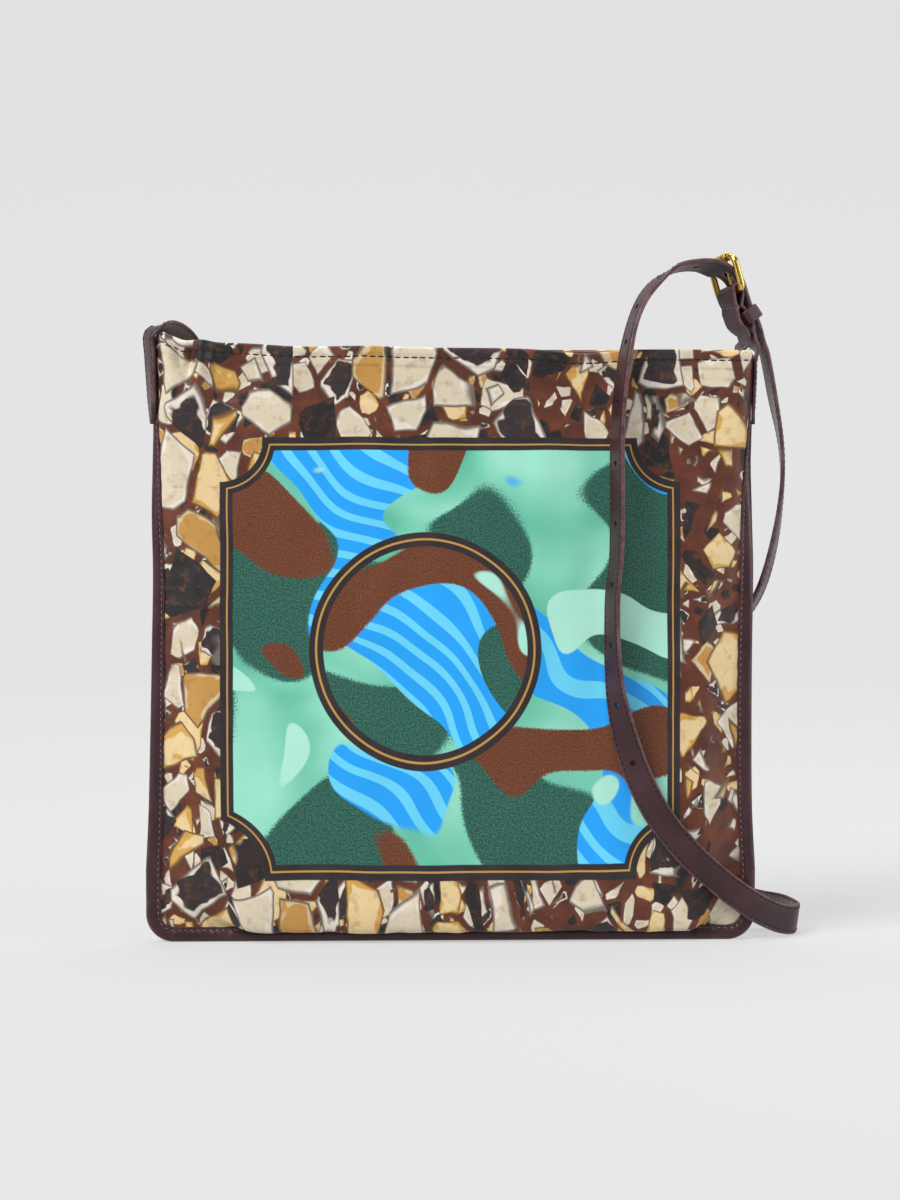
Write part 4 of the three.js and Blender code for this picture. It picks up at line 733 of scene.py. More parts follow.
def panel(name, face, folds, creases, mats, fine):
    runs = np.unique(np.concatenate([
        np.arange(CLOTH_IN, 60, 1.25 * fine), np.arange(60, 300, 2.05 * fine),
        np.arange(300, TOP_Z - 12, 1.1 * fine), np.arange(TOP_Z - 12, TOP_Z - 0.2, 0.75), [TOP_Z]]))
    edge_runs = np.concatenate([np.arange(CLOTH_IN, TURN_RUN - 0.3, 1.15 * fine)])
    n_mid = int(round(143 / fine))
    inner = np.arange(0, n_mid + 1) / n_mid
    side = np.concatenate([-np.ones(len(edge_runs)), np.zeros(len(inner)), np.ones(len(edge_runs))])
    crun = np.concatenate([edge_runs, np.full(len(inner), TURN_RUN), edge_runs[::-1]])
    across = np.concatenate([np.zeros(len(edge_runs)), inner, np.ones(len(edge_runs))])
    grid, near = cloth_grid(face, runs, side, crun, across)
    nr, nc = grid.shape[:2]
    r2, c2 = runs[:, None] + 0 * crun[None, :], crun[None, :] + 0 * runs[:, None]

    # Kinks between the parts of the surface are eased out where it is free.
    free = step(r2, BIND_W + 1, 24) * step(c2, BIND_W + 1, 18)
    for _ in range(14):
        y = np.pad(grid[..., 1], 1, mode="edge")
        mean = (y[:-2, 1:-1] + y[2:, 1:-1] + y[1:-1, :-2] + y[1:-1, 2:]) / 4
        grid[..., 1] += 0.6 * free * (mean - grid[..., 1])

    def normals(g):
        return unit(np.cross(np.gradient(g, axis=1), np.gradient(g, axis=0))) * face

    n = normals(grid)
    u = near + side[None, :] * (TURN_RUN - c2)
    v = r2
    free = step(r2, BIND_W + 1, 22) * step(c2, BIND_W + 1, 17)
    depth = fold_depth(folds + creases, grid[..., 0], grid[..., 2])
    depth += 0.38 * ripples(5 + face, 16, 26, 85, u, v)
    # Puckers where the binding's seam gathers the cloth.
    from_side = np.maximum(c2 - BIND_W, 0)
    from_low = np.maximum(r2 - BIND_W, 0)
    pucker = ripples(17 + face, 7, 8, 17, 0 * u, v) * np.exp(-from_side / 9.0)
    pucker += ripples(29 + face, 7, 9, 19, u, 0 * v) * np.exp(-from_low / 12.0)
    depth += 0.42 * pucker * step(r2, BIND_W, BIND_W + 4) * step(c2, BIND_W, BIND_W + 4)
    grid = grid - n * (free * depth)[..., None]
    n = normals(grid)

    hem_from = TOP_Z - HEM_DEPTH
    wall = CLOTH_T + (HEM_T - CLOTH_T) * step(r2, hem_from - 0.5, hem_from + 0.9) * step(c2, BIND_W, BIND_W + 4)
    relief = np.zeros_like(u)
    at_stitch = np.exp(-((r2 - (TOP_Z - HEM_STITCH_DOWN)) / 0.95) ** 2)
    relief -= 0.42 * at_stitch * (0.75 + 0.25 * np.cos(2 * math.pi * u / HEM_PITCH))
    relief += 0.16 * np.exp(-((r2 - (TOP_Z - 1.8)) / 1.4) ** 2)
    relief += 0.10 * np.exp(-((r2 - (hem_from + 1.0)) / 0.9) ** 2)
    outer = grid + n * (wall / 2 + relief)[..., None]
    inside = grid - n * (wall / 2)[..., None]

    # One strip of rows: up the outside, round the hem's fold, down the inside.
    arc = []
    for k in range(1, 7):
        a = math.pi * k / 7
        up = np.array([0, 0, 1.0])
        centre = (outer[-1] + inside[-1]) / 2
        half = (outer[-1] - inside[-1]) / 2
        arc.append(centre + half * math.cos(a) + up * np.linalg.norm(half, axis=1, keepdims=True) * math.sin(a))
    strip = np.concatenate([outer, np.array(arc), inside[::-1]])
    total = len(strip)
    flat = np.zeros((total, nc, 3))
    flat[:nr, :, 0], flat[:nr, :, 1] = u, v
    for k in range(len(arc)):
        flat[nr + k, :, 0], flat[nr + k, :, 1] = u[-1], v[-1] + 0.5 * (k + 1)
    flat[nr + len(arc):, :, 0], flat[nr + len(arc):, :, 1] = u[::-1], v[::-1] + 400
    faces, fm = [], []
    for r in range(total):
        q = (r + 1) % total
        for c in range(nc - 1):
            faces.append((r * nc + c, r * nc + c + 1, q * nc + c + 1, q * nc + c))
        fm += [1 if r >= nr + len(arc) else 0] * (nc - 1)
    for c in (0, nc - 1):
        for r in range(nr - 1):
            i0, i1 = total - 1 - r, total - 2 - r
            quad = (r * nc + c, (r + 1) * nc + c, i1 * nc + c, i0 * nc + c)
            faces.append(quad if c == 0 else quad[::-1])
            fm.append(0)
        ring = [r * nc + c for r in range(nr - 1, nr + len(arc) + 1)]
        faces.append(tuple(ring) if c == 0 else tuple(ring[::-1]))
        fm.append(0)
    verts = strip.reshape(-1, 3)
    ob = make(name, verts, outward(verts, faces), mats, fm, {"flat": flat.reshape(-1, 3)})

    # Running stitch of the hem, on the outside.
    k = int(np.argmin(np.abs(runs - (TOP_Z - HEM_STITCH_DOWN))))
    keep = slice(int(np.argmax(crun > BIND_W + 2)), nc - int(np.argmax(crun[::-1] > BIND_W + 2)))
    line, ln = outer[k, keep], n[k, keep]
    i, t, s, run = along_line(line, HEM_PITCH, 3.0, 3.0)
    centres, norm = pick(line, i, t), pick(ln, i, t)
    tang = line[i + 1] - line[i]
    jitter = np.random.default_rng(3).normal(0, 0.12, len(i))
    centres = centres + np.array([0, 0, 1.0]) * jitter[:, None] + unit(norm) * 0.12
    sew = stitches(name + "_hem_stitches", mat_thread_hem, centres, tang, norm, 4.2, 0.78, 0.6)
    return ob, sew


cloth_front, hem_front = panel("cloth_front", 1, FOLDS_FRONT, CREASES_FRONT, [mat_print, mat_lining], 1.0)
cloth_back, hem_back = panel("cloth_back", -1, FOLDS_BACK, [], [mat_print_back, mat_lining], 1.25)
piece(cloth_front, "cloth", "front_panel")
piece(cloth_back, "cloth", "back_panel")
piece(hem_front, "cloth")
piece(hem_back, "cloth")

# ------------------------------------------------------------------ binding

BIND_STITCH, BIND_PITCH = 6.7, 3.5
BIND_OUTER = curve([2.6, 3.4, 4.6, 5.9, 6.8, 7.5, 8.0, 8.25], [3.55, 3.66, 3.46, 3.12, 2.86, 2.98, 2.84, 2.5])


def binding():
    ds = np.array([8.4, 8.36, 8.22, 8.0, 7.6, 7.2, 6.85, 6.55, 6.3, 6.0, 5.6, 5.1, 4.5, 3.9, 3.3, 2.7])
    fs = np.where(ds > 8.3, np.where(ds > 8.38, 1.95, 2.25), BIND_OUTER(ds))
    turn = np.radians(np.arange(80, -1, -16.0))
    arc_d, arc_f = 2.6 - 2.6 * np.cos(turn), 1.0 + 2.58 * np.sin(turn)
    front = np.stack([np.concatenate([ds, arc_d]), np.concatenate([fs, arc_f])], 1)
    back = front[::-1] * np.array([1, -1])
    inner = np.array([[8.1, -1.82], [5.6, -1.84], [3.6, -2.1], [1.7, -1.6], [1.3, 0.0],
                      [1.7, 1.6], [3.6, 2.1], [5.6, 1.84], [8.1, 1.82]])
    section = np.concatenate([front, back, inner])
    n_out = len(front)

    edges, outs, fronts = [], [], []
    stepping = 0.95
    zl = np.arange(BIND_TOP_LEFT, CORNER_R, -stepping)
    seam, out, frt = side_frame(-1, zl)
    edges.append(seam + out * BIND_W), outs.append(out), fronts.append(frt)
    for sign, order in ((-1, 1), (1, -1)):
        seam, out, frt = side_frame(sign, np.array([CORNER_R]))
        centre = seam[0] + np.array([sign, 0, 0]) * (BIND_W - CORNER_R)
        ang = np.linspace(0, math.pi / 2, 27)[::order]
        o = np.stack([sign * np.cos(ang), 0 * ang, -np.sin(ang)], 1)
        if sign > 0:
            x = np.arange(x_left + stepping, centre[0] - 0.5 * stepping, stepping)
            edges.append(np.stack([x, 0 * x, 0 * x], 1))
            outs.append(np.tile([0, 0, -1.0], (len(x), 1)))
            fronts.append(np.tile([0, -1.0, 0], (len(x), 1)))
        edges.append(centre + o * CORNER_R)
        outs.append(o)
        fronts.append(np.tile([0, -1.0, 0], (len(ang), 1)))
        x_left = centre[0]
    zr = np.arange(CORNER_R + stepping, BIND_TOP_RIGHT, stepping)
    seam, out, frt = side_frame(1, zr)
    edges.append(seam + out * BIND_W), outs.append(out), fronts.append(frt)
    edge, out, frt = (np.concatenate(x) for x in (edges, outs, fronts))

    line = edge - out * BIND_STITCH
    run = np.concatenate([[0], np.cumsum(np.linalg.norm(np.diff(line, axis=0), axis=1))])
    wob = 0.10 * ripples(41, 6, 18, 60, run, 0 * run) + 0.06 * ripples(42, 6, 6, 14, run, 0 * run)
    d = np.tile(section[:, 0], (len(edge), 1))
    f = np.tile(section[:, 1], (len(edge), 1))
    sign = np.sign(f)
    outer = np.zeros(len(section))
    outer[:2 * n_out] = 1
    near_stitch = np.exp(-((d - BIND_STITCH) / 1.5) ** 2)
    gather = np.cos(2 * math.pi * run / BIND_PITCH)[:, None]
    dimple = (0.5 - 0.5 * np.cos(2 * math.pi * (run / BIND_PITCH - 0.5)))[:, None] ** 3
    f = f + sign * outer * (near_stitch * (0.10 * gather - 0.10) - 0.30 * np.exp(-((d - BIND_STITCH) / 0.7) ** 2) * (1 - dimple)
                            + 0.9 * wob[:, None] * step(d, 1.5, 3.5))
    # Short wrinkles from the seam towards the fold.
    wrinkle = ripples(44, 9, 4.5, 11, run, 0 * run) * (0.5 + 0.5 * ripples(45, 4, 40, 120, run, 0 * run))
    f = f + sign * outer * 0.17 * wrinkle[:, None] * np.exp(-((d - 4.4) / 1.7) ** 2)
    # Pressed flat under the sewn ends of strap and chape.
    zz, xx = edge[:, 2], edge[:, 0]
    pressed = np.where(xx < 0, step(zz, TAB_TIP_LEFT - 1.5, TAB_TIP_LEFT + 1.5), step(zz, TAB_TIP_RIGHT - 1.5, TAB_TIP_RIGHT + 1.5))
    f = np.where(f > 0, np.minimum(f, mix(9.0, TAB_LEVEL - 0.02, pressed)[:, None]), f)
    lip = np.exp(-((d - 8.4) / 0.6) ** 2) * outer
    d = d + lip * (0.10 * ripples(43, 6, 5, 16, run, 0 * run))[:, None]
    rings = edge[:, None, :] - out[:, None, :] * d[..., None] + frt[:, None, :] * f[..., None]
    rings[..., 2] = np.maximum(rings[..., 2], 0.0)
    verts, faces, _ = sweep(rings, False)
    wear = np.exp(-((d - 0.4) / 1.3) ** 2) * 0.5 + lip * 0.7
    ob = make("binding", verts, faces, [mat_bind], None, {"wear": np.clip(wear, 0, 1).ravel()})

    centres, tangs, norms = [], [], []
    level = float(BIND_OUTER(BIND_STITCH))
    for s in (1, -1):
        pts = line + frt * (s * (level - 0.10))
        i, t, _, _ = along_line(line, BIND_PITCH, BIND_PITCH / 2, 2.0)
        centres.append(pick(pts, i, t)), tangs.append(pts[i + 1] - pts[i]), norms.append(pick(frt, i, t) * s)
    sew = stitches("binding_stitches", mat_thread_pale, np.concatenate(centres), np.concatenate(tangs),
                   np.concatenate(norms), 1.7, 0.55, 0.45, 8.0)
    return ob, sew


bind, bind_sew = binding()
piece(bind, "leather", "edge_binding")
piece(bind_sew, "leather")

# ------------------------------------------------------------------ straps


def tab_row(side, layer, z, thickness, width):
    seam, out, frt = (x[0] for x in side_frame(side, np.array([float(z)])))
    if layer > 0:
        p = seam + out * TAB_REACH[side] + frt * (TAB_LEVEL + TAB_GAP + thickness / 2)
    else:
        p = seam + out * TAB_REACH_INNER - frt * (BIND_T / 2 + 0.55 + thickness / 2)
    return (*p, math.degrees(math.atan2(frt[1], frt[0])), 0.0, width)


def tab_rows(side, tip, top, thickness):
    rows = [tab_row(side, 1, tip + up, thickness, w) for up, w in ((0, 3.0), (6, 10.0), (13, STRAP_W))]
    for share in (0.4, 0.7, 1):
        rows.append(tab_row(side, 1, mix(tip + 13, top, share), thickness, STRAP_W))
    return rows


class Band:
    """Stations along a table of rows: middle, outer face, direction, width."""

    def __init__(self, rows, spacing):
        a = np.array(rows, float)
        pts, faces, widths = a[:, :3], direction(a[:, 3], a[:, 4]), a[:, 5]
        run = np.concatenate([[0], np.cumsum(np.linalg.norm(np.diff(pts, axis=0), axis=1))])
        k = np.arange(len(a))
        lo, hi = np.maximum(k - 1, 0), np.minimum(k + 1, len(a) - 1)
        gap = (run[hi] - run[lo])[:, None]
        sp, sf = (pts[hi] - pts[lo]) / gap, (faces[hi] - faces[lo]) / gap
        mids, fcs, ws, rows_at = [], [], [], []
        for i in range(len(a) - 1):
            span = run[i + 1] - run[i]
            m = max(1, math.ceil(span / spacing))
            t = (np.arange(m + (1 if i == len(a) - 2 else 0)) / m)[:, None]
            mids.append(hermite(pts[i], sp[i] * span, pts[i + 1], sp[i + 1] * span, t))
            fcs.append(unit(hermite(faces[i], sf[i] * span, faces[i + 1], sf[i + 1] * span, t)))
            ws.append(mix(widths[i], widths[i + 1], t[:, 0]))
            rows_at.append(i + t[:, 0])
        self.mid, self.face, self.width = np.concatenate(mids), np.concatenate(fcs), np.concatenate(ws)
        self.row = np.concatenate(rows_at)
        self.orient()

    def orient(self):
        self.along = unit(np.gradient(self.mid, axis=0))
        self.face = unit(self.face - self.along * np.sum(self.face * self.along, 1, keepdims=True))
        self.across = np.cross(self.along, self.face)
        self.run = np.concatenate([[0], np.cumsum(np.linalg.norm(np.diff(self.mid, axis=0), axis=1))])

    def at(self, s):
        s = np.atleast_1d(np.asarray(s, float))
        i = np.clip(np.searchsorted(self.run, s, side="right") - 1, 0, len(self.run) - 2)
        t = (s - self.run[i]) / (self.run[i + 1] - self.run[i])
        w = self.width[i] * (1 - t) + self.width[i + 1] * t
        return (pick(self.mid, i, t), unit(pick(self.face, i, t)), unit(pick(self.across, i, t)),
                unit(pick(self.along, i, t)), w)


def band_section(thickness, groove):
    """Flat strap section with rounded painted edges and sewn grooves."""
    h, w = thickness / 2, STRAP_W / 2
    top = [-6.75, -6.35, -6.05, -5.7, -5.2, -3.4, -1.2, 1.2, 3.4, 5.2, 5.7, 6.05, 6.35, 6.75]

    def level(x):
        dip = groove * math.exp(-((abs(x) - 6.05) / 0.38) ** 2)
        return h * (1 - 0.05 * (x / w) ** 2) - dip
    outer = [(x, level(x)) for x in top]
    edge = [(w - 0.55, h * 0.93), (w - 0.2, h * 0.7), (w, h * 0.25), (w, -h * 0.25), (w - 0.2, -h * 0.7), (w - 0.55, -h * 0.93)]
    under = [(x, -level(x)) for x in reversed(top)]
    section = outer + edge + under + [(-x, -y) for x, y in edge]
    n = len(top)
    mats = [0] * (n - 1) + [1] * (len(edge) + 1) + [2] * (n - 1) + [1] * (len(edge) + 1)
    return np.array(section), mats


def band_mesh(name, band, thickness, groove, mats, wave=None, wear_edges=0.75, painted_shade=None):
    section, fm = band_section(thickness, groove)
    n = len(band.mid)
    u = section[None, :, 0] * (band.width / STRAP_W)[:, None]
    v = np.tile(section[:, 1], (n, 1))
    if wave is not None:
        v = v + wave[:, None] * np.sign(v)
    rings = band.mid[:, None, :] + band.across[:, None, :] * u[..., None] + band.face[:, None, :] * v[..., None]
    verts, faces, face_mats = sweep(rings, False, fm)
    wear = np.clip((np.abs(section[:, 0]) - 6.2) / 1.2, 0, 1) * wear_edges
    attrs = {"wear": np.tile(wear, n)}
    if painted_shade is not None:
        attrs["painted_shade"] = np.repeat(painted_shade, len(section))
    return make(name, verts, faces, mats, face_mats, attrs)


def cut(ob, cutter, sharp):
    """Cutter's volume taken out of ob; the cutter is removed."""
    mod = ob.modifiers.new("cut", "BOOLEAN")
    mod.operation, mod.solver, mod.object = "DIFFERENCE", "EXACT", cutter
    bpy.context.view_layer.update()
    me = bpy.data.meshes.new_from_object(ob.evaluated_get(bpy.context.evaluated_depsgraph_get()))
    ob.modifiers.clear()
    old = ob.data
    ob.data = me
    bpy.data.meshes.remove(old)
    bpy.data.objects.remove(cutter)
    me.polygons.foreach_set("use_smooth", np.ones(len(me.polygons), bool))
    me.set_sharp_from_angle(angle=math.radians(sharp))
    return ob


strap_band = Band(tab_rows(-1, TAB_TIP_LEFT, TAB_TOP_LEFT, STRAP_T) + STRAP, 1.9)

# Axes of the buckle: bar towards the viewer, up along the frame, outwards.
bar_axis = direction(BAR_AZIMUTH, BAR_RISE)
out_axis = direction(BAR_AZIMUTH + 90, FRAME_LEAN)
out_axis = unit(out_axis - bar_axis * np.dot(out_axis, bar_axis))
up_axis = unit(np.cross(out_axis, bar_axis))
if up_axis[2] < 0:
    up_axis = -up_axis


def in_buckle(bar, up, out):
    return HEEL + bar_axis * bar + up_axis * up + out_axis * out


_places = np.arange(0, strap_band.run[-1], 0.5)
_mids = strap_band.at(_places)[0]
prong_at = float(_places[np.argmin(np.linalg.norm(_mids - in_buckle(0, 0.49 * FRAME_L, 2.4), axis=1))])
_front = (_mids[:, 1] < 0) & (_mids[:, 0] > 0)
hem_at = float(_places[np.argmin(np.where(_front, np.abs(_mids[:, 2] - HOLE_Z), 1e9))])
hole_at = np.concatenate([[prong_at], hem_at - HOLE_PITCH * np.arange(HOLES_BELOW + 1),
                          mix(hem_at, prong_at, np.arange(1, HOLES_ABOVE + 1) / (HOLES_ABOVE + 1))])


def discs(centres, normals, sideways, radii, half, segs):
    """Short oval cylinders, for punching; radii across and along the strap."""
    verts, faces = [], []
    for c, n, x, (ra, rl) in zip(centres, normals, sideways, radii):
        y = np.cross(n, x)
        o = len(verts)
        for s in (-1, 1):
            for k in range(segs):
                a = 2 * math.pi * k / segs
                verts.append(c + n * (s * half) + x * (math.cos(a) * ra) + y * (math.sin(a) * rl))
        faces.append(tuple(o + k for k in reversed(range(segs))))
        faces.append(tuple(o + segs + k for k in range(segs)))
        faces += [(o + k, o + (k + 1) % segs, o + segs + (k + 1) % segs, o + segs + k) for k in range(segs)]
    return np.array(verts), faces


h_mid, h_face, h_across, h_along, _ = strap_band.at(hole_at)
h_radius = [(PRONG_HOLE_D / 2, PRONG_HOLE_L / 2)] + [(HOLE_D / 2, HOLE_D / 2)] * (len(hole_at) - 1)
# Painted shade on the flesh side at the two arches, darkest on the right arch towards the buckle.
_run, _up = strap_band.run, strap_band.mid[:, 2]
arch_painted_shade = 0.45 * step(_up, 322, 334) * (strap_band.mid[:, 0] < 0) + step(_up, 326, 340) * (strap_band.mid[:, 0] > 0) * (
    0.6 + 0.4 * step(strap_band.mid[:, 0], 126, 148)) * (1 - step(_run, prong_at + 24, prong_at + 34))
strap = band_mesh("strap_leather", strap_band, STRAP_T, 0.20, [mat_strap, mat_edge, mat_back, mat_hole_painted_shade],
                  0.05 * ripples(51, 7, 14, 70, strap_band.run, 0 * strap_band.run), painted_shade=arch_painted_shade)
cv, cf = discs(h_mid, h_face, h_across, h_radius, 4.0, 24)
strap = cut(strap, make("hole_cutter", cv, cf, [mat_hole_painted_shade]), 40)
piece(strap, "leather", "strap")

# Pressed rims of the punched holes, on both faces, coloured dark as painted shade of the holes.
rv, rf = [], []
for c, n, x, (ra, rl) in zip(h_mid, h_face, h_across, h_radius):
    for s in (1, -1):
        y = np.cross(n * s, x)
        o = len(rv)
        big, small = 28, 8
        for k in range(big):
            a = 2 * math.pi * k / big
            for q in range(small):
                b = 2 * math.pi * q / small
                grow = 0.12 + 0.24 * math.cos(b)
                rv.append(c + x * (math.cos(a) * (ra + grow)) + y * (math.sin(a) * (rl + grow))
                          + n * (s * (STRAP_T / 2 - 0.1 + 0.14 * math.sin(b))))
        for k in range(big):
            for q in range(small):
                a0, a1 = o + k * small, o + ((k + 1) % big) * small
                rf.append((a0 + q, a1 + q, a1 + (q + 1) % small, a0 + (q + 1) % small))
rims = make("strap_hole_rims", np.array(rv), rf, [mat_rim_painted_shade], None, {"wear": np.full(len(rv), 0.1)})
piece(rims, "leather")


def edge_stitches(name, band, thickness, mat, pitch, start, end, length, width, height, faces=(1, -1)):
    centres, tangs, norms = [], [], []
    s = np.arange(start, band.run[-1] - end, pitch)
    mid, face, across, along, w = band.at(s)
    ok = w > 11
    for side in (1, -1):
        for f in faces:
            c = mid + across * (side * (w / 2 - 1.7))[:, None] + face * (f * (thickness / 2 - 0.10))
            centres.append(c[ok]), tangs.append(along[ok]), norms.append((face * f)[ok])
    return stitches(name, mat, np.concatenate(centres), np.concatenate(tangs), np.concatenate(norms),
                    length, width, height, 6.0)


strap_sew = edge_stitches("strap_stitches", strap_band, STRAP_T, mat_thread_dark, 3.5, 5.0, 7.0, 2.3, 0.85, 0.65, (1,))
piece(strap_sew, "leather")
strap_sew_in = edge_stitches("strap_stitches_inside", strap_band, STRAP_T, mat_thread_in, 3.5, 5.0, 7.0, 2.0, 0.6, 0.45, (-1,))
piece(strap_sew_in, "leather")

# ------------------------------------------------------------------ chape


def chape_rows():
    outer, inner = [], []
    for x, y, z, az, el, apart, swell_in, width in CHAPE:
        face = direction(az, el)
        for rows, sign in ((outer, 1), (inner, -1)):
            p = np.array([x, y, z]) + face * (apart / 2 if sign > 0 else -apart / 2 - swell_in)
            n = face * sign
            rows.append((*p, math.degrees(math.atan2(n[1], n[0])), math.degrees(math.asin(n[2])), width))
    rows = tab_rows(1, TAB_TIP_RIGHT, TAB_TOP_RIGHT, CHAPE_T) + outer[::-1]
    round_r = WIRE_D / 2 + GAP + CHAPE_T / 2
    for turn in (-5, 40, 90, 140, 185):
        c, s = math.cos(math.radians(turn)), math.sin(math.radians(turn))
        p = in_buckle(0, round_r * s, round_r * c)
        n = out_axis * c + up_axis * s
        rows.append((*p, math.degrees(math.atan2(n[1], n[0])), math.degrees(math.asin(n[2])), CHAPE[0][7]))
    rows += inner
    end = tab_row(1, -1, CHAPE_SHORT_END, CHAPE_T, STRAP_W)
    rows.append((*end[:3], end[3] + 180, 0.0, STRAP_W))
    return rows


chape_band = Band(chape_rows(), 0.8)
# The two sewn lines pinch the legs; the leather swells between them.
SEWN = (17.0, 20.0)
_row = chape_band.row
pinch = 0.6 * np.exp(-((_row - 18.4) / 0.6) ** 2) + 0.5 * np.exp(-((_row - 16.2) / 0.5) ** 2)
pinch += 1.5 * np.exp(-((_row - 20.0) / 0.5) ** 2) - 0.8 * np.exp(-((_row - 21.1) / 0.4) ** 2)
pinch -= 0.6 * np.exp(-((_row - 7.0) / 0.4) ** 2)
for at in (*SEWN, 8.0, 11.0):
    pinch -= (1.0 if at > 13 else 0.3) * np.exp(-((_row - at) / 0.2) ** 2)
chape_band.mid = chape_band.mid + chape_band.face * pinch[:, None]
chape_band.orient()
chape = band_mesh("chape_leather", chape_band, CHAPE_T, 0.05, [mat_chape, mat_edge, mat_chape, mat_hole_painted_shade])


def rounded_box(centre, ax, ay, az, sx, sy, sz, segs=10):
    """Box with half-round ends along its second axis."""
    outline = []
    for k in range(segs + 1):
        a = math.pi * k / segs
        outline.append((sx / 2 * math.cos(a), sy / 2 - sx / 2 + sx / 2 * math.sin(a)))
    for k in range(segs + 1):
        a = math.pi + math.pi * k / segs
        outline.append((sx / 2 * math.cos(a), -sy / 2 + sx / 2 + sx / 2 * math.sin(a)))
    n = len(outline)
    verts = [centre + ax * x + ay * y + az * (s * sz / 2) for s in (-1, 1) for x, y in outline]
    faces = [tuple(reversed(range(n))), tuple(range(n, 2 * n))]
    faces += [(k, (k + 1) % n, n + (k + 1) % n, n + k) for k in range(n)]
    verts = np.array(verts)
    return verts, outward(verts, faces)


bv, bf = rounded_box(in_buckle(0, -0.4, 4.4), bar_axis, up_axis, out_axis, SLOT_W, 13.5, 8.0)
chape = cut(chape, make("slot_cutter", bv, bf, [mat_hole_painted_shade]), 40)
piece(chape, "leather", "buckle_chape")

# Rows of stitches across the chape, and down the edges of its sewn end.
centres, tangs, norms = [], [], []
for at in SEWN:
    s = float(np.interp(at, chape_band.row, chape_band.run))
    mid, face, across, along, w = (x[0] for x in chape_band.at(s))
    for x in np.arange(-w / 2 + 1.5, w / 2 - 1.0, 2.6):
        centres.append(mid + across * x + face * (CHAPE_T / 2 + 0.3))
        tangs.append(across)
        norms.append(face)
for s in np.arange(6.0, float(np.interp(7.0, chape_band.row, chape_band.run)), 3.3):
    mid, face, across, along, w = (x[0] for x in chape_band.at(s))
    if w < 11:
        continue
    for side in (1, -1):
        centres.append(mid + across * (side * (w / 2 - 1.7)) + face * (CHAPE_T / 2 - 0.06))
        tangs.append(along)
        norms.append(face)
chape_sew = stitches("chape_stitches", mat_thread_painted_glint, np.array(centres), np.array(tangs), np.array(norms), 1.7, 0.8, 0.8)
piece(chape_sew, "leather")

# ------------------------------------------------------------------ keeper


def keeper():
    x, y, z, az, el, apart, _, _ = mix(np.array(CHAPE[KEEPER_ROW]), np.array(CHAPE[KEEPER_ROW + 1]), KEEPER_SHARE)
    face = direction(az, el)
    along = unit(np.array(CHAPE[KEEPER_ROW - 1][:3]) - np.array(CHAPE[KEEPER_ROW + 1][:3]))
    face = unit(face - along * np.dot(face, along))
    across = np.cross(face, along)
    lo = apart / 2 - CHAPE_T / 2 - 4 * GAP - KEEPER_T / 2
    hi = apart / 2 + CHAPE_T / 2 + GAP + STRAP_T + 2.2 + KEEPER_T / 2
    w, r, segs = STRAP_W / 2 + 0.7 + KEEPER_T / 2, 1.7, 8
    path = []
    for cx, cy, start in ((w - r, hi - r, 0), (-w + r, hi - r, 90), (-w + r, lo + r, 180), (w - r, lo + r, 270)):
        for k in range(segs + 1):
            a = math.radians(start + 90 * k / segs)
            path.append((cx + r * math.cos(a), cy + r * math.sin(a), math.cos(a), math.sin(a)))
    fine = []
    for i, p in enumerate(path):
        q = path[(i + 1) % len(path)]
        m = max(1, int(math.hypot(q[0] - p[0], q[1] - p[1]) / 0.9))
        fine += [tuple(mix(np.array(p), np.array(q), k / m)) for k in range(m)]
    hw, ht = KEEPER_W / 2, KEEPER_T / 2
    section = [(-hw + 0.5, ht), (-hw + 0.9, ht - 0.06), (-1.2, ht + 0.06), (1.2, ht + 0.06), (hw - 0.9, ht - 0.06), (hw - 0.5, ht),
               (hw - 0.12, ht * 0.6), (hw, 0.0), (hw - 0.12, -ht * 0.6), (hw - 0.5, -ht), (-hw + 0.5, -ht),
               (-hw + 0.12, -ht * 0.6), (-hw, 0.0), (-hw + 0.12, ht * 0.6)]
    centre = np.array([x, y, z])
    rings = [[centre + across * (px + nx * t) + face * (py + ny * t) + along * l for l, t in section]
             for px, py, nx, ny in fine]
    verts, faces, _ = sweep(rings, True)
    wear = [0.5 if abs(l) > hw - 0.6 else 0.05 for l, t in section]
    return make("keeper_leather", verts, faces, [mat_bind], None, {"wear": np.tile(wear, len(fine))})


piece(keeper(), "leather", "keeper_loop")

# ------------------------------------------------------------------ buckle


def tube(path, radii, normal_hint, sides, closed):
    path = np.asarray(path)
    if closed:
        tang = unit(np.roll(path, -1, 0) - np.roll(path, 1, 0))
    else:
        tang = unit(np.gradient(path, axis=0))
    n = unit(normal_hint - tang * np.sum(normal_hint * tang, 1, keepdims=True))
    b = np.cross(tang, n)
    a = 2 * math.pi * np.arange(sides) / sides
    radii = np.asarray(radii)
    if radii.ndim == 1:
        radii = np.stack([radii, radii], 1)
    return (path[:, None, :] + n[:, None, :] * (np.cos(a)[None, :, None] * radii[:, 0, None, None])
            + b[:, None, :] * (np.sin(a)[None, :, None] * radii[:, 1, None, None]))


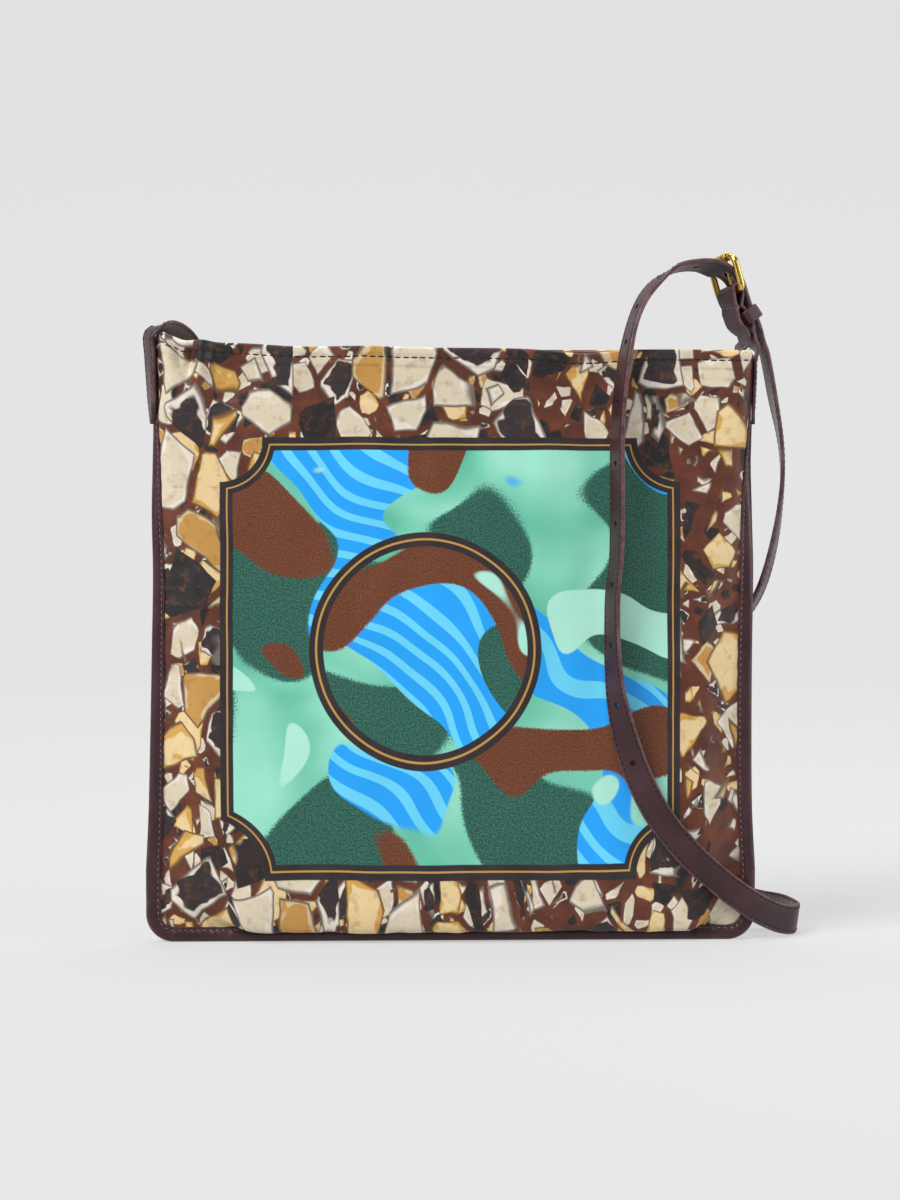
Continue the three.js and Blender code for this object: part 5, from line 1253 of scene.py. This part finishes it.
def wire_frame():
    w, path = FRAME_W / 2, []
    for sideways, up, r, start in ((1, FRAME_L - FRAME_R_END, FRAME_R_END, 0), (-1, FRAME_L - FRAME_R_END, FRAME_R_END, 90),
                                   (-1, FRAME_R_HEEL, FRAME_R_HEEL, 180), (1, FRAME_R_HEEL, FRAME_R_HEEL, 270)):
        for k in range(13):
            a = math.radians(start + 90 * k / 12)
            path.append(in_buckle(sideways * (w - r) + r * math.cos(a), up + r * math.sin(a), 0))
    fine = []
    for i, p in enumerate(path):
        q = path[(i + 1) % len(path)]
        m = max(1, int(np.linalg.norm(q - p) / 0.8))
        fine += [mix(p, q, k / m) for k in range(m)]
    fine = np.array(fine)
    size = np.full(len(fine), WIRE_D / 2)
    verts, faces, _ = sweep(tube(fine, size, np.tile(out_axis, (len(fine), 1)), 24, True), True)
    return make("buckle_wire", verts, faces, [mat_brass])


def roller():
    hw, r0, r1 = ROLLER_W / 2, ROLLER_BORE / 2, ROLLER_D / 2
    profile = [(r0, -hw + 0.1), (r0 + 0.12, -hw), (r1 - 0.14, -hw), (r1, -hw + 0.16), (r1, -hw + 1.2), (r1 - 0.08, -hw + 1.35),
               (r1 - 0.08, -hw + 1.6), (r1, -hw + 1.75), (r1 + 0.02, 0.0), (r1, hw - 1.75), (r1 - 0.08, hw - 1.6),
               (r1 - 0.08, hw - 1.35), (r1, hw - 1.2), (r1, hw - 0.16), (r1 - 0.14, hw), (r0 + 0.12, hw), (r0, hw - 0.1)]
    segs, rings = 48, []
    for k in range(segs):
        a = 2 * math.pi * k / segs
        rings.append([in_buckle(y, FRAME_L + r * math.cos(a), r * math.sin(a)) for r, y in profile])
    verts, faces, _ = sweep(rings, True)
    bore = np.linalg.norm(verts - in_buckle(0, FRAME_L, 0) - np.outer((verts - in_buckle(0, FRAME_L, 0)) @ bar_axis, bar_axis), axis=1) < r0 + 0.05
    fm = [1 if all(bore[i] for i in f) else 0 for f in faces]
    return make("buckle_tube", verts, faces, [mat_brass, mat_bore], fm, sharp=50)


def prong():
    eye = WIRE_D / 2 + 1.7 * GAP + PRONG_D / 2
    rest = ROLLER_D / 2 + 1.6 * GAP + PRONG_D / 2
    keys = []
    for turn in (-95, -60, -25, 10, 42):
        a = math.radians(turn)
        keys.append(in_buckle(0, eye * math.sin(a), eye * math.cos(a)))
    keys += [in_buckle(0, 0.32 * FRAME_L, 0.7 * eye), in_buckle(0, 0.6 * FRAME_L, 0.6 * eye),
             in_buckle(0, FRAME_L, rest), in_buckle(0, FRAME_L + 2.4, rest + 0.4)]
    keys = np.array(keys)
    s = np.concatenate([[0], np.cumsum(np.linalg.norm(np.diff(keys, axis=0), axis=1))])
    t = np.linspace(0, s[-1], 90)
    path = np.stack([curve(s, keys[:, i])(t) for i in range(3)], 1)
    share = t / s[-1]
    thin = 1 - 0.22 * step(share, 0.55, 1.0)
    tip = np.sqrt(np.clip(1 - np.clip((share - 0.965) / 0.035, 0, 1) ** 2, 0.02, 1))
    root = np.sqrt(np.clip(1 - np.clip((0.02 - share) / 0.02, 0, 1) ** 2, 0.02, 1))
    wide = PRONG_D / 2 * thin * tip * root
    radii = np.stack([wide, wide * (1 - 0.18 * step(share, 0.6, 0.95))], 1)
    verts, faces, _ = sweep(tube(path, radii, np.tile(bar_axis, (len(path), 1)), 18, False), False)
    return make("buckle_pin", verts, faces, [mat_brass])


piece(wire_frame(), "brass", "buckle_frame")
piece(roller(), "brass", "buckle_roller")
piece(prong(), "brass", "buckle_prong")

# ------------------------------------------------------------------ stage and light


def backdrop():
    """Pale sheet: floor that sweeps up behind the bag."""
    profile = [(-6.0, 0.0)] + [(y, 0.0) for y in np.linspace(-5.0, 1.4, 30)]
    for k in range(1, 25):
        a = math.radians(90 * k / 24)
        profile.append((1.4 + 1.6 * math.sin(a), 1.6 - 1.6 * math.cos(a)))
    profile.append((3.0, 6.0))
    verts, faces = [], []
    for y, z in profile:
        verts += [(-8000.0, y * 1000, z * 1000), (8000.0, y * 1000, z * 1000)]
    for i in range(len(profile) - 1):
        faces.append((2 * i, 2 * i + 1, 2 * i + 3, 2 * i + 2))
    g = Graph("studio_paper")
    g.set(Base_Color=(0.205, 0.205, 0.205, 1), Roughness=0.95, Specular_IOR_Level=0.0)
    g.set(Emission_Color=(1, 1, 1, 1), Emission_Strength=0.495)
    ob = make("studio_floor", np.array(verts), faces, [g.mat])
    return ob


backdrop()

world = bpy.data.worlds.new("studio")
scene.world = world
world.use_nodes = True
bg = next(n for n in world.node_tree.nodes if n.type == "BACKGROUND")
bg.inputs["Color"].default_value = (1, 1, 1, 1)
bg.inputs["Strength"].default_value = 0.2


def sun(name, azimuth, elevation, strength, angle):
    data = bpy.data.lights.new(name, "SUN")
    data.energy, data.angle = strength, math.radians(angle)
    ob = bpy.data.objects.new(name, data)
    scene.collection.objects.link(ob)
    d = Vector(direction(azimuth, elevation))
    ob.rotation_euler = (-d).to_track_quat("-Z", "Y").to_euler()
    return ob


def soft_box(name, place, aim, size, power):
    data = bpy.data.lights.new(name, "AREA")
    data.shape, data.size, data.size_y, data.energy = "RECTANGLE", size[0], size[1], power
    ob = bpy.data.objects.new(name, data)
    scene.collection.objects.link(ob)
    ob.location = place
    ob.rotation_euler = (Vector(aim) - Vector(place)).to_track_quat("-Z", "Y").to_euler()
    return ob


sun("key", -140, 46, 3.1, 30)
sun("fill", -60, 26, 0.25, 50)
soft_box("left_box", (-1.5, -0.7, 0.9), (0, 0, 0.2), (0.4, 1.4), 6)
soft_box("right_box", (1.6, -0.4, 0.7), (0, 0, 0.2), (0.6, 1.4), 14)
soft_box("top_box", (0.05, 0.4, 1.6), (0, 0, 0.15), (1.4, 0.5), 11)
